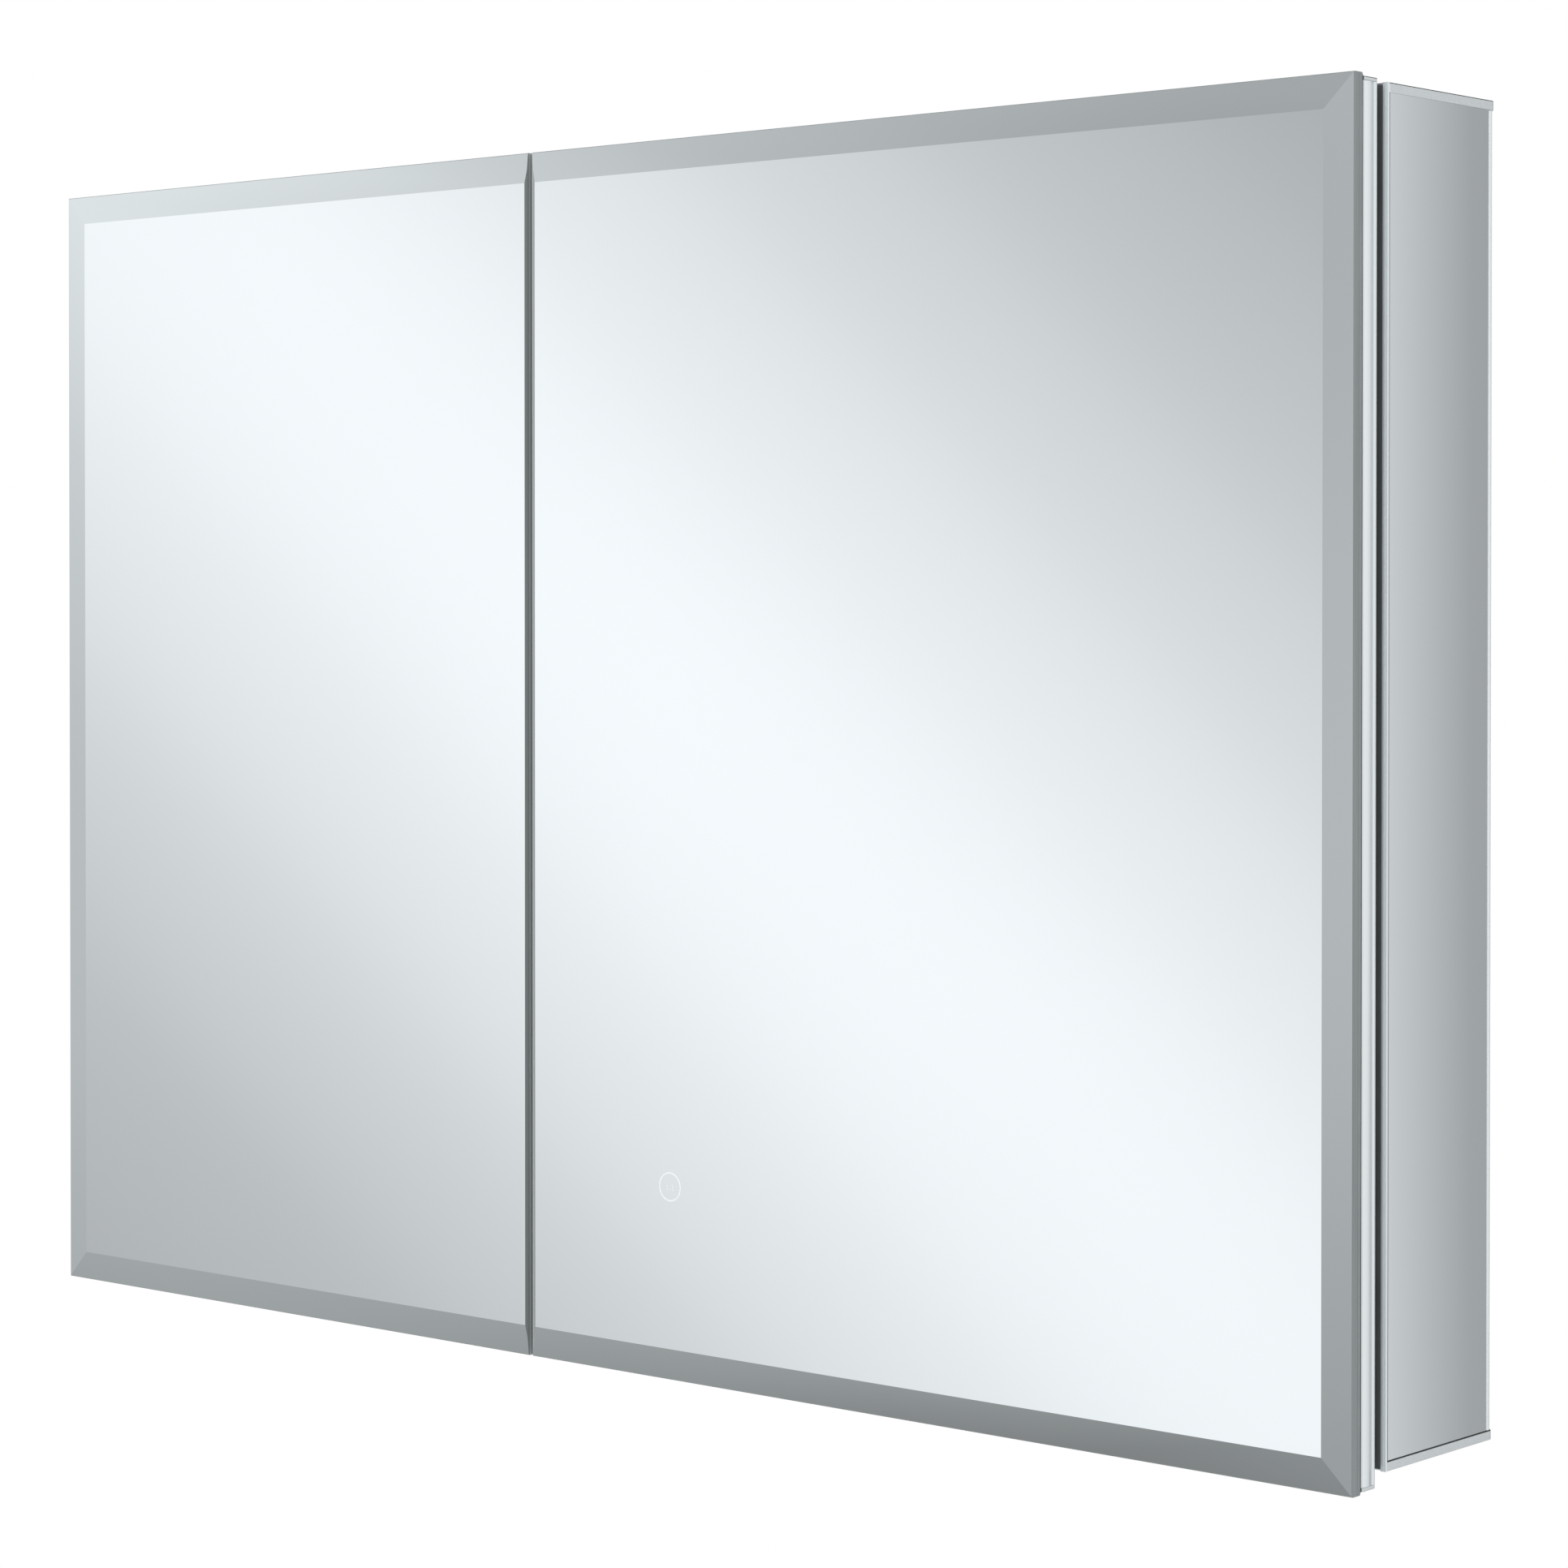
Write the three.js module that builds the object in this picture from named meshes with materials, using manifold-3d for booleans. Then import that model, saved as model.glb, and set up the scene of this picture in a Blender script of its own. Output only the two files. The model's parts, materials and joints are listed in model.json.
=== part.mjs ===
// Two-door mirrored medicine cabinet, surface mounted, 42 x 30 in.
// Millimetres, +Z up. The doors face -Y and the wall is the plane Y = 0.
// The origin is the middle of the doors' outline, on the wall.
//
// Most places are worked out from two offsets that follow the cabinet's own logic:
//   inset  how far a place lies in from the doors' outer side edge, towards the middle
//   depth  how far a place lies behind the doors' front face
import * as THREE from 'three';
import { ConvexGeometry } from 'three/addons/geometries/ConvexGeometry.js';
import { mergeVertices } from 'three/addons/utils/BufferGeometryUtils.js';
import Module from 'manifold-3d';

const wasm = await Module();
wasm.setup();

// ---- driving dimensions ----
const INCH = 25.4;
const WIDTH = 42 * INCH; // over both doors
const HEIGHT = 30 * INCH; // of the door glass
const DEPTH = 5.5 * INCH; // wall to door front
const LEFT_DOOR = 454.7; // to the middle of the door gap, from a nominal 18 in
const DOOR_GAP = 3;
const FIT = 0.3; // clearance between pieces that touch
const OVERSHOOT = 1; // how far a cutting block runs past the piece it cuts

// door
const BEVEL = 0.75 * INCH;
const BEVEL_DROP = 1.2;
const GLASS = 6;
const FRAME_FRONT = 11.2; // depth of the aluminium frame's front face
const FRAME_BACK = 23.8;
const STILE = 24; // width of the frame's stiles and rails
const SKIN = 1.6; // wall of the side skins
const WEB = 1.4; // wall of the front and back webs
const RAIL_PLATE = 2.2;
const FRAME_TOP_DROP = 1.7; // frame top below the glass top
const FRAME_BOTTOM_RISE = 1.2; // frame bottom above the glass bottom
const REAR_GLASS = 4;
const REAR_GLASS_GAP = 2; // between the inner mirror and the rails

// cabinet box
const OVERHANG = 4.3; // cabinet sides outside the doors' edges
const BOX_TOP = HEIGHT / 2 - 3.8;
const BOX_BOTTOM = -HEIGHT / 2 + 10.1;
const BOX_FRONT = 27.4; // depth of the cabinet's front lips
const PLATE = 5.5; // top and bottom panels
const WALL_INSET = 10; // inner face of the side walls
const WALL_SKIN = 1.5;
const LIP = 1.6;
const LIP_CLEAR = 1; // inner edge of the front lips outside the doors' edges
const REAR_LIP = 4;
const SEAT = 1.5; // depth of the seal's seat behind the front lips
const SIDE_GLASS = 2.5;
const BACK_SHEET = 3;
const BACK_GLASS = 3.5;
const DIVIDER = 12;
const GASKET = 7; // width of the door seal
const GASKET_THICKNESS = 1;
const GASKET_PROUD = 1; // how far the seal laps the divider and stops short of the panels
const PLATE_CORNER = 4; // radius of the rear corners of the top and bottom panels

// shelves
const SHELVES = 3;
const SHELF_GLASS = 5;
const SHELF_DEPTH = 84;
const COMB = 5; // thickness of the shelf combs
const COMB_WIDTH = 12;
const NOTCH = 2; // depth of a comb's notches
const NOTCH_PITCH = 32;
const COMB_DEPTHS = [46, 112];
const COMB_FROM_END = 40;
const FIRST_NOTCH = 0.75; // in pitches above the foot of a comb
const SHELF_FROM_MIRROR = 2;
const BACK_MIRROR_SIDE_GAP = 1;

// hinges
const PIN_INSET = 7.4;
const PIN_DEPTH = 16.5;
const PIN_RADIUS = 1.3;
const BORE_RADIUS = 1.65;
const EYE_RADIUS = 2.8;
const ARM = 2.5; // thickness of the cranked arm
const ARM_INSET = 18.6;
const ARM_HEIGHT = 16;
const HINGE_FROM_END = 100;
const BASE_DEPTHS = [62, 100];
const BASE_REACH = 12; // half heights, from the middle of a hinge
const POCKET_REACH = 14;
const BRACKET_WEB = 1.5;
const LUG = 2;
const PIN_PROUD = 0.5; // at each end, past the lugs
const WEB_MARGIN = 1; // of a bracket's web, round its lugs and inside the frame
const LUG_MARGIN = 4; // round the pin

// wall fixing and power
const STUD_SPACING = 16 * INCH;
const SCREW_HOLE = 4;
const FIXING_STRIP = 34; // bare back sheet above and below the back mirrors
const GLAND_X = 390;
const GLAND_HOLE = 8;
const GLAND_FLANGE = { thickness: 2.5, margin: 3 };
const CABLE_BORE = 4;
const POWER_BOX = { width: 120, height: 28, front: 84, behind: 6 };

// touch sensor
const SENSOR_FROM_LEFT = 575;
const SENSOR_FROM_BOTTOM = 119;
const SENSOR_RADIUS = 15;

// ---- places that follow from the dimensions ----
const SPLIT_X = -WIDTH / 2 + LEFT_DOOR;
const PLATE_BACK = DEPTH;
const WALL_BACK = DEPTH - BACK_SHEET - FIT;
const PLATE_FRONT = BOX_FRONT + LIP + FIT;
const INNER_TOP = BOX_TOP - PLATE;
const INNER_BOTTOM = BOX_BOTTOM + PLATE;
const BODY_FRONT = BOX_FRONT + SEAT;
const GASKET_FRONT = BODY_FRONT - FIT - GASKET_THICKNESS;
const FRAME_TOP = HEIGHT / 2 - FRAME_TOP_DROP;
const FRAME_BOTTOM = -HEIGHT / 2 + FRAME_BOTTOM_RISE;
const HINGE_HEIGHTS = { upper: HEIGHT / 2 - HINGE_FROM_END, lower: -HEIGHT / 2 + HINGE_FROM_END };
const SIDES = { left: -1, right: 1 };
const BACK_MIRROR_BACK = WALL_BACK - FIT;
const BACK_MIRROR_FRONT = BACK_MIRROR_BACK - BACK_GLASS;

const toX = (side, inset) => side * (WIDTH / 2 - inset);
const toY = (depth) => depth - DEPTH;

// ---- materials ----
const finish = (color, roughness, metalness) => ({ color, roughness, metalness });
const MIRROR = finish(0xdfe6e9, 0.03, 1.0);
const ALUMINIUM = finish(0xc6ccd0, 0.35, 0.9);
const STEEL = finish(0xb5b8ba, 0.25, 1.0);
const CLEAR_GLASS = finish(0xd8ecea, 0.05, 0.0);
const BOARD = finish(0xbfc4c6, 0.6, 0.0);
const RUBBER = finish(0x3a3d3f, 0.8, 0.0);
const WHITE_PLASTIC = finish(0xe9ebea, 0.45, 0.0);
const BLACK_PLASTIC = finish(0x1f2122, 0.5, 0.0);
const FOIL = finish(0xd9a441, 0.5, 0.2);

const cabinet = new THREE.Group();
cabinet.name = 'medicine_cabinet';

function add(name, geometry, material) {
  const mesh = new THREE.Mesh(geometry, new THREE.MeshStandardMaterial(material));
  mesh.name = name;
  cabinet.add(mesh);
}

// ---- shape helpers ----
function block(x, y, z) {
  const [width, depth, height] = [x, y, z].map(([a, b]) => Math.abs(b - a));
  const geometry = new THREE.BoxGeometry(width, depth, height);
  return geometry.translate((x[0] + x[1]) / 2, (y[0] + y[1]) / 2, (z[0] + z[1]) / 2);
}

// A block given by insets from one side, depths behind the door face, and heights.
function insetBlock(side, insets, depths, heights) {
  return block(insets.map((i) => toX(side, i)), depths.map(toY), heights);
}

// Outer loops run anticlockwise and holes clockwise, whichever way round they were written.
function loop(points, clockwise) {
  const turned = points.map(([a, b]) => new THREE.Vector2(a, b));
  return THREE.ShapeUtils.isClockWise(turned) === clockwise ? turned : turned.reverse();
}

function outline(points, holes = []) {
  const shape = new THREE.Shape(loop(points, false));
  for (const hole of holes) shape.holes.push(new THREE.Path(loop(hole, true)));
  return shape;
}

function extrude(shape, length) {
  return new THREE.ExtrudeGeometry(shape, { depth: length, bevelEnabled: false, steps: 1 });
}

// A plan outline in (inset, depth) from one side, raised between two heights.
function upright(side, points, holes, [bottom, top]) {
  const place = (list) => list.map(([inset, depth]) => [toX(side, inset), toY(depth)]);
  return extrude(outline(place(points), holes.map(place)), top - bottom).translate(0, 0, bottom);
}

// A section in (depth, height) run along X.
function along(points, [from, to]) {
  const section = outline(points.map(([depth, height]) => [toY(depth), height]));
  const turn = new THREE.Matrix4().set(0, 0, 1, from, 1, 0, 0, 0, 0, 1, 0, 0, 0, 0, 0, 1);
  return extrude(section, to - from).applyMatrix4(turn);
}

// An elevation outline in (x, height) run back between two depths.
function acrossDepth(points, holes, [front, back]) {
  const geometry = extrude(outline(points, holes), back - front);
  return geometry.rotateX(Math.PI / 2).translate(0, toY(back), 0);
}

const rectangle = ([a0, a1], [b0, b1]) => [[a0, b0], [a1, b0], [a1, b1], [a0, b1]];

function arc([a, b], radius, start, end, steps) {
  return Array.from({ length: steps + 1 }, (_, i) => {
    const angle = start + ((end - start) * i) / steps;
    return [a + radius * Math.cos(angle), b + radius * Math.sin(angle)];
  });
}

const circle = (centre, radius, steps = 20) => arc(centre, radius, 0, 2 * Math.PI, steps).slice(1);

function solid(geometry) {
  const bare = geometry.clone();
  bare.deleteAttribute('normal');
  bare.deleteAttribute('uv');
  const merged = mergeVertices(bare, 1e-4);
  const mesh = new wasm.Mesh({
    numProp: 3,
    vertProperties: new Float32Array(merged.attributes.position.array),
    triVerts: new Uint32Array(merged.index.array),
  });
  return new wasm.Manifold(mesh);
}

function geometryOf(body) {
  const mesh = body.getMesh();
  const geometry = new THREE.BufferGeometry();
  geometry.setAttribute('position', new THREE.BufferAttribute(mesh.vertProperties, 3));
  geometry.setIndex(new THREE.BufferAttribute(mesh.triVerts, 1));
  return geometry;
}

const join = (...pieces) => geometryOf(pieces.map(solid).reduce((a, b) => a.add(b)));
const cut = (piece, ...tools) => geometryOf(tools.map(solid).reduce((a, b) => a.subtract(b), solid(piece)));

// ---- cabinet box ----
// The side wall is a hollow extrusion. Its front and rear lips hold the outer side mirror, and
// the front lip runs the full height, in front of the ends of the top and bottom panels.
function sideWall(side) {
  const skin = SIDE_GLASS + FIT - OVERHANG;
  const body = [
    [skin, BODY_FRONT], [WALL_INSET, BODY_FRONT], [WALL_INSET, WALL_BACK],
    [-OVERHANG, WALL_BACK], [-OVERHANG, WALL_BACK - REAR_LIP], [skin, WALL_BACK - REAR_LIP],
  ];
  const insets = [skin + WALL_SKIN, WALL_INSET - WALL_SKIN];
  const middle = (BODY_FRONT + WALL_BACK) / 2;
  const cells = [
    rectangle(insets, [BODY_FRONT + WALL_SKIN, middle - WALL_SKIN / 2]),
    rectangle(insets, [middle + WALL_SKIN / 2, WALL_BACK - WALL_SKIN]),
  ];
  const tall = upright(side, body, cells, [INNER_BOTTOM + FIT, INNER_TOP - FIT]);
  const lipDepths = [BOX_FRONT, BOX_FRONT + LIP];
  const lip = insetBlock(side, [-OVERHANG, -LIP_CLEAR], lipDepths, [BOX_BOTTOM, BOX_TOP]);
  return join(tall, lip);
}

function sideMirror(side) {
  const depths = [PLATE_FRONT, WALL_BACK - REAR_LIP - FIT];
  return insetBlock(side, [-OVERHANG, SIDE_GLASS - OVERHANG], depths, [INNER_BOTTOM + FIT, INNER_TOP - FIT]);
}

// Top and bottom panels run the full width over the side mirrors, with rounded rear corners.
function endPanel([bottom, top]) {
  const radius = PLATE_CORNER;
  const outerX = WIDTH / 2 + OVERHANG;
  const backY = toY(PLATE_BACK);
  const centreX = outerX - radius;
  const plan = [
    [-outerX, toY(PLATE_FRONT)], [outerX, toY(PLATE_FRONT)],
    ...arc([centreX, backY - radius], radius, 0, Math.PI / 2, 6),
    ...arc([-centreX, backY - radius], radius, Math.PI / 2, Math.PI, 6),
  ];
  return extrude(outline(plan), top - bottom).translate(0, 0, bottom);
}

function divider() {
  const middle = (BODY_FRONT + BACK_MIRROR_FRONT) / 2;
  const half = DIVIDER / 2;
  const hollow = [SPLIT_X - half + WALL_SKIN, SPLIT_X + half - WALL_SKIN];
  const plan = rectangle([SPLIT_X - half, SPLIT_X + half], [BODY_FRONT, WALL_BACK].map(toY));
  const cells = [
    rectangle(hollow, [BODY_FRONT + WALL_SKIN, middle - WALL_SKIN / 2].map(toY)),
    rectangle(hollow, [middle + WALL_SKIN / 2, WALL_BACK - WALL_SKIN].map(toY)),
  ];
  const height = INNER_TOP - INNER_BOTTOM - 2 * FIT;
  return extrude(outline(plan, cells), height).translate(0, 0, INNER_BOTTOM + FIT);
}

const FIXING_HEIGHTS = [INNER_TOP - FIXING_STRIP / 2, INNER_BOTTOM + FIXING_STRIP / 2];

function backSheet() {
  const plan = rectangle([-WIDTH / 2, WIDTH / 2], [INNER_BOTTOM + FIT, INNER_TOP - FIT]);
  const holes = [circle([GLAND_X, FIXING_HEIGHTS[0]], GLAND_HOLE)];
  for (const x of [-STUD_SPACING / 2, STUD_SPACING / 2]) {
    for (const z of FIXING_HEIGHTS) holes.push(circle([x, z], SCREW_HOLE, 16));
  }
  return acrossDepth(plan, holes, [DEPTH - BACK_SHEET, DEPTH]);
}

// The seal is one moulding: a frame round the opening with a bar down the divider.
function seal() {
  const outerX = WIDTH / 2 + LIP_CLEAR - FIT;
  const [bottom, top] = [BOX_BOTTOM + GASKET_PROUD, BOX_TOP - GASKET_PROUD];
  const [front, back] = [GASKET_FRONT, BODY_FRONT - FIT];
  const half = DIVIDER / 2 - GASKET_PROUD;
  const through = [front - OVERSHOOT, back + OVERSHOOT].map(toY);
  const heights = [bottom + GASKET, top - GASKET];
  return cut(
    block([-outerX, outerX], [front, back].map(toY), [bottom, top]),
    block([-outerX + GASKET, SPLIT_X - half], through, heights),
    block([SPLIT_X + half, outerX - GASKET], through, heights),
  );
}

for (const [name, side] of Object.entries(SIDES)) {
  add(`side_wall_${name}`, sideWall(side), ALUMINIUM);
  add(`side_mirror_${name}`, sideMirror(side), MIRROR);
}
add('top_panel', endPanel([INNER_TOP, BOX_TOP]), ALUMINIUM);
add('bottom_panel', endPanel([BOX_BOTTOM, INNER_BOTTOM]), ALUMINIUM);
add('centre_divider', divider(), ALUMINIUM);
add('back_panel', backSheet(), ALUMINIUM);
add('door_seal', seal(), RUBBER);

// ---- bays: back mirrors, shelf combs and glass shelves ----
const BAYS = {
  left: [toX(-1, WALL_INSET), SPLIT_X - DIVIDER / 2],
  right: [SPLIT_X + DIVIDER / 2, toX(1, WALL_INSET)],
};
const COMB_HEIGHTS = [INNER_BOTTOM + COMB_FROM_END, INNER_TOP - COMB_FROM_END];
const NOTCH_HEIGHT = SHELF_GLASS + 1;
const NOTCHES = Math.floor((COMB_HEIGHTS[1] - COMB_HEIGHTS[0] - NOTCH_PITCH) / NOTCH_PITCH);
const notchFloor = (i) => COMB_HEIGHTS[0] + NOTCH_PITCH * (i + FIRST_NOTCH);

// A comb is an upright strip with a ladder of notches that the shelf ends stand in.
// facing is +1 where the notches open towards +X.
function shelfComb(x, facing, depth) {
  const back = x + facing * FIT;
  const face = back + facing * COMB;
  const floor = face - facing * NOTCH;
  const points = [[back, COMB_HEIGHTS[0]], [face, COMB_HEIGHTS[0]]];
  for (let i = 0; i < NOTCHES; i++) {
    const z = notchFloor(i);
    points.push([face, z], [floor, z], [floor, z + NOTCH_HEIGHT], [face, z + NOTCH_HEIGHT]);
  }
  points.push([face, COMB_HEIGHTS[1]], [back, COMB_HEIGHTS[1]]);
  return acrossDepth(points, [], [depth, depth + COMB_WIDTH]);
}

// The shelves stand in the notches nearest to an even spacing.
const SHELF_NOTCHES = Array.from({ length: SHELVES }, (_, i) => {
  const height = INNER_BOTTOM + ((INNER_TOP - INNER_BOTTOM) * (i + 1)) / (SHELVES + 1);
  return Math.round((height - notchFloor(0)) / NOTCH_PITCH);
});

for (const [name, [x0, x1]] of Object.entries(BAYS)) {
  const mirrorHeights = [INNER_BOTTOM + FIXING_STRIP, INNER_TOP - FIXING_STRIP];
  const mirrorX = [x0 + BACK_MIRROR_SIDE_GAP, x1 - BACK_MIRROR_SIDE_GAP];
  const mirrorY = [BACK_MIRROR_FRONT, BACK_MIRROR_BACK].map(toY);
  add(`back_mirror_${name}`, block(mirrorX, mirrorY, mirrorHeights), MIRROR);
  COMB_DEPTHS.forEach((depth, i) => {
    const row = ['front', 'rear'][i];
    add(`shelf_comb_${name}_bay_left_${row}`, shelfComb(x0, 1, depth), WHITE_PLASTIC);
    add(`shelf_comb_${name}_bay_right_${row}`, shelfComb(x1, -1, depth), WHITE_PLASTIC);
  });
  const end = FIT + COMB - NOTCH + FIT;
  const shelfBack = BACK_MIRROR_FRONT - SHELF_FROM_MIRROR;
  const shelfY = [shelfBack - SHELF_DEPTH, shelfBack].map(toY);
  SHELF_NOTCHES.forEach((notch, i) => {
    const z = notchFloor(notch) + FIT;
    const shelf = block([x0 + end, x1 - end], shelfY, [z, z + SHELF_GLASS]);
    add(`glass_shelf_${name}_${i + 1}`, shelf, CLEAR_GLASS);
  });
}

// ---- doors ----
// The front glass is bevelled on its three outer sides. The edge where the doors meet is square.
function bevelledGlass(outerX, meetingX) {
  const inward = Math.sign(meetingX - outerX);
  const half = HEIGHT / 2;
  const points = [];
  for (const z of [-half, half]) {
    const z1 = z - Math.sign(z) * BEVEL;
    points.push([outerX, toY(GLASS), z], [meetingX, toY(GLASS), z]);
    points.push([outerX, toY(BEVEL_DROP), z], [meetingX, toY(BEVEL_DROP), z]);
    points.push([outerX + inward * BEVEL, toY(0), z1], [meetingX, toY(0), z1]);
  }
  return new ConvexGeometry(points.map((p) => new THREE.Vector3(...p)));
}

const BACKING_DEPTHS = [GLASS + FIT, FRAME_FRONT - FIT];
const DEMISTER = { x: [60, 460], z: [-150, 200], thickness: 0.7 };
const SENSOR = [SENSOR_FROM_LEFT - WIDTH / 2, SENSOR_FROM_BOTTOM - HEIGHT / 2];

// The right door's backing panel has a hole for the sensor and a shallow pocket for the demister.
function rightBacking(panel) {
  const [front, back] = BACKING_DEPTHS;
  const through = [front - OVERSHOOT, back + OVERSHOOT];
  const hole = acrossDepth(circle(SENSOR, SENSOR_RADIUS + FIT, 32), [], through);
  const grow = ([a, b]) => [a - FIT, b + FIT];
  const pocketY = [front - OVERSHOOT, front + DEMISTER.thickness + FIT].map(toY);
  return cut(panel, hole, block(grow(DEMISTER.x), pocketY, grow(DEMISTER.z)));
}

// A stile is a box tube between the two rails. The hinge stile has a pocket at each hinge.
function stile(side, from, hinged) {
  const box = rectangle([from, from + STILE], [FRAME_FRONT, FRAME_BACK]);
  const bore = rectangle([from + SKIN, from + STILE - SKIN], [FRAME_FRONT + WEB, FRAME_BACK - WEB]);
  const heights = [FRAME_BOTTOM + RAIL_PLATE + FIT, FRAME_TOP - RAIL_PLATE - FIT];
  const tube = upright(side, box, [bore], heights);
  if (!hinged) return tube;
  const depths = [FRAME_FRONT + WEB, FRAME_BACK + OVERSHOOT];
  const pockets = Object.values(HINGE_HEIGHTS).map((z) => insetBlock(
    side, [SKIN, STILE - SKIN], depths, [z - POCKET_REACH, z + POCKET_REACH],
  ));
  return cut(tube, ...pockets);
}

// A rail is a channel that opens towards the middle of the door. Its outer plate runs the full
// width over the stile ends, and its webs stop at the stiles.
function rail([x0, x1], outer, inward) {
  const plate = outer + inward * RAIL_PLATE;
  const edge = outer + inward * STILE;
  const section = [
    [FRAME_FRONT, outer], [FRAME_BACK, outer], [FRAME_BACK, edge], [FRAME_BACK - WEB, edge],
    [FRAME_BACK - WEB, plate], [FRAME_FRONT + WEB, plate], [FRAME_FRONT + WEB, edge], [FRAME_FRONT, edge],
  ];
  const corner = STILE + FIT;
  const y = [FRAME_FRONT - OVERSHOOT, FRAME_BACK + OVERSHOOT].map(toY);
  const heights = [plate, edge + inward * OVERSHOOT];
  return cut(
    along(section, [x0, x1]),
    block([x0 - OVERSHOOT, x0 + corner], y, heights),
    block([x1 - corner, x1 + OVERSHOOT], y, heights),
  );
}

// The hinge bracket is screwed inside the stile: a web with two lugs that carry the pin.
function hingeBracket(side, z) {
  const web = [SKIN + FIT, SKIN + FIT + BRACKET_WEB];
  const front = FRAME_FRONT + WEB + FIT;
  const lugPlan = rectangle([web[0], PIN_INSET + LUG_MARGIN], [front, PIN_DEPTH + LUG_MARGIN]);
  const bore = circle([PIN_INSET, PIN_DEPTH], BORE_RADIUS);
  const lug = (a, b) => upright(side, lugPlan, [bore], [z + a, z + b]);
  const inner = ARM_HEIGHT / 2 + FIT;
  const outer = inner + LUG;
  const reach = outer + WEB_MARGIN;
  const plate = insetBlock(side, web, [front, FRAME_BACK - WEB_MARGIN], [z - reach, z + reach]);
  return join(plate, lug(inner, outer), lug(-outer, -inner));
}

function hingePin(side, z) {
  const length = ARM_HEIGHT + 2 * (LUG + FIT + PIN_PROUD);
  const pin = new THREE.CylinderGeometry(PIN_RADIUS, PIN_RADIUS, length, 16).rotateX(Math.PI / 2);
  return pin.translate(toX(side, PIN_INSET), toY(PIN_DEPTH), z);
}

// The arm is cranked round the back corner of the door, so that the hinge is out of sight when
// the door is shut and the corner clears it when the door opens.
function hingeArm(side, z) {
  const lean = Math.asin(ARM / 2 / EYE_RADIUS);
  const outerInset = ARM_INSET + ARM;
  const [near, far] = [PIN_DEPTH - ARM / 2, PIN_DEPTH + ARM / 2];
  const plan = [
    ...arc([PIN_INSET, PIN_DEPTH], EYE_RADIUS, lean, 2 * Math.PI - lean, 20),
    [outerInset, near], [outerInset, BASE_DEPTHS[1]], [ARM_INSET, BASE_DEPTHS[1]], [ARM_INSET, far],
  ];
  const bore = circle([PIN_INSET, PIN_DEPTH], BORE_RADIUS);
  return upright(side, plan, [bore], [z - ARM_HEIGHT / 2, z + ARM_HEIGHT / 2]);
}

function hingeBase(side, z) {
  const insets = [WALL_INSET + FIT, ARM_INSET - FIT];
  return insetBlock(side, insets, BASE_DEPTHS, [z - BASE_REACH, z + BASE_REACH]);
}

const MEETING = { left: SPLIT_X - DOOR_GAP / 2, right: SPLIT_X + DOOR_GAP / 2 };

for (const [name, side] of Object.entries(SIDES)) {
  const outerX = toX(side, 0);
  const meetingX = MEETING[name];
  const width = Math.abs(meetingX - outerX);
  const span = [Math.min(outerX, meetingX), Math.max(outerX, meetingX)];
  const panel = block(span, BACKING_DEPTHS.map(toY), [-HEIGHT / 2, HEIGHT / 2]);
  const rearX = [span[0] + STILE + FIT, span[1] - STILE - FIT];
  const rearBack = FRAME_BACK - WEB - FIT;
  const rearFit = RAIL_PLATE + REAR_GLASS_GAP;
  const rearHeights = [FRAME_BOTTOM + rearFit, FRAME_TOP - rearFit];

  add(`front_mirror_${name}`, bevelledGlass(outerX, meetingX), MIRROR);
  add(`backing_panel_${name}`, name === 'right' ? rightBacking(panel) : panel, BOARD);
  add(`hinge_stile_${name}`, stile(side, 0, true), ALUMINIUM);
  add(`meeting_stile_${name}`, stile(side, width - STILE, false), ALUMINIUM);
  add(`top_rail_${name}`, rail(span, FRAME_TOP, -1), ALUMINIUM);
  add(`bottom_rail_${name}`, rail(span, FRAME_BOTTOM, 1), ALUMINIUM);
  add(`rear_mirror_${name}`, block(rearX, [rearBack - REAR_GLASS, rearBack].map(toY), rearHeights), MIRROR);
  for (const [level, z] of Object.entries(HINGE_HEIGHTS)) {
    add(`hinge_bracket_${name}_${level}`, hingeBracket(side, z), STEEL);
    add(`hinge_pin_${name}_${level}`, hingePin(side, z), STEEL);
    add(`hinge_arm_${name}_${level}`, hingeArm(side, z), STEEL);
    add(`hinge_base_${name}_${level}`, hingeBase(side, z), STEEL);
  }
}

// ---- touch sensor, demister and power ----
const sensorDepths = [BACKING_DEPTHS[0], BACKING_DEPTHS[1] - FIT];
add('touch_sensor', acrossDepth(circle(SENSOR, SENSOR_RADIUS, 32), [], sensorDepths), BLACK_PLASTIC);
const padY = [BACKING_DEPTHS[0], BACKING_DEPTHS[0] + DEMISTER.thickness].map(toY);
add('demister_pad', block(DEMISTER.x, padY, DEMISTER.z), FOIL);

// A flanged bush through the back sheet, with the cable bore open right through it.
function cableGland() {
  const { thickness, margin } = GLAND_FLANGE;
  const front = DEPTH - BACK_SHEET - FIT - thickness;
  const length = DEPTH - front;
  const neck = GLAND_HOLE - FIT;
  const flange = GLAND_HOLE + margin;
  const profile = [
    [CABLE_BORE, 0], [flange, 0], [flange, thickness], [neck, thickness],
    [neck, length], [CABLE_BORE, length], [CABLE_BORE, 0],
  ];
  const lathe = new THREE.LatheGeometry(profile.map(([r, y]) => new THREE.Vector2(r, y)), 24);
  return lathe.translate(GLAND_X, toY(front), FIXING_HEIGHTS[0]);
}
add('cable_gland', cableGland(), BLACK_PLASTIC);
const powerX = [GLAND_X - POWER_BOX.width / 2, GLAND_X + POWER_BOX.width / 2];
const powerY = [POWER_BOX.front, DEPTH - BACK_SHEET - POWER_BOX.behind].map(toY);
const powerZ = [INNER_TOP - FIT - POWER_BOX.height, INNER_TOP - FIT];
add('power_supply_box', block(powerX, powerY, powerZ), WHITE_PLASTIC);

export default cabinet;
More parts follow.
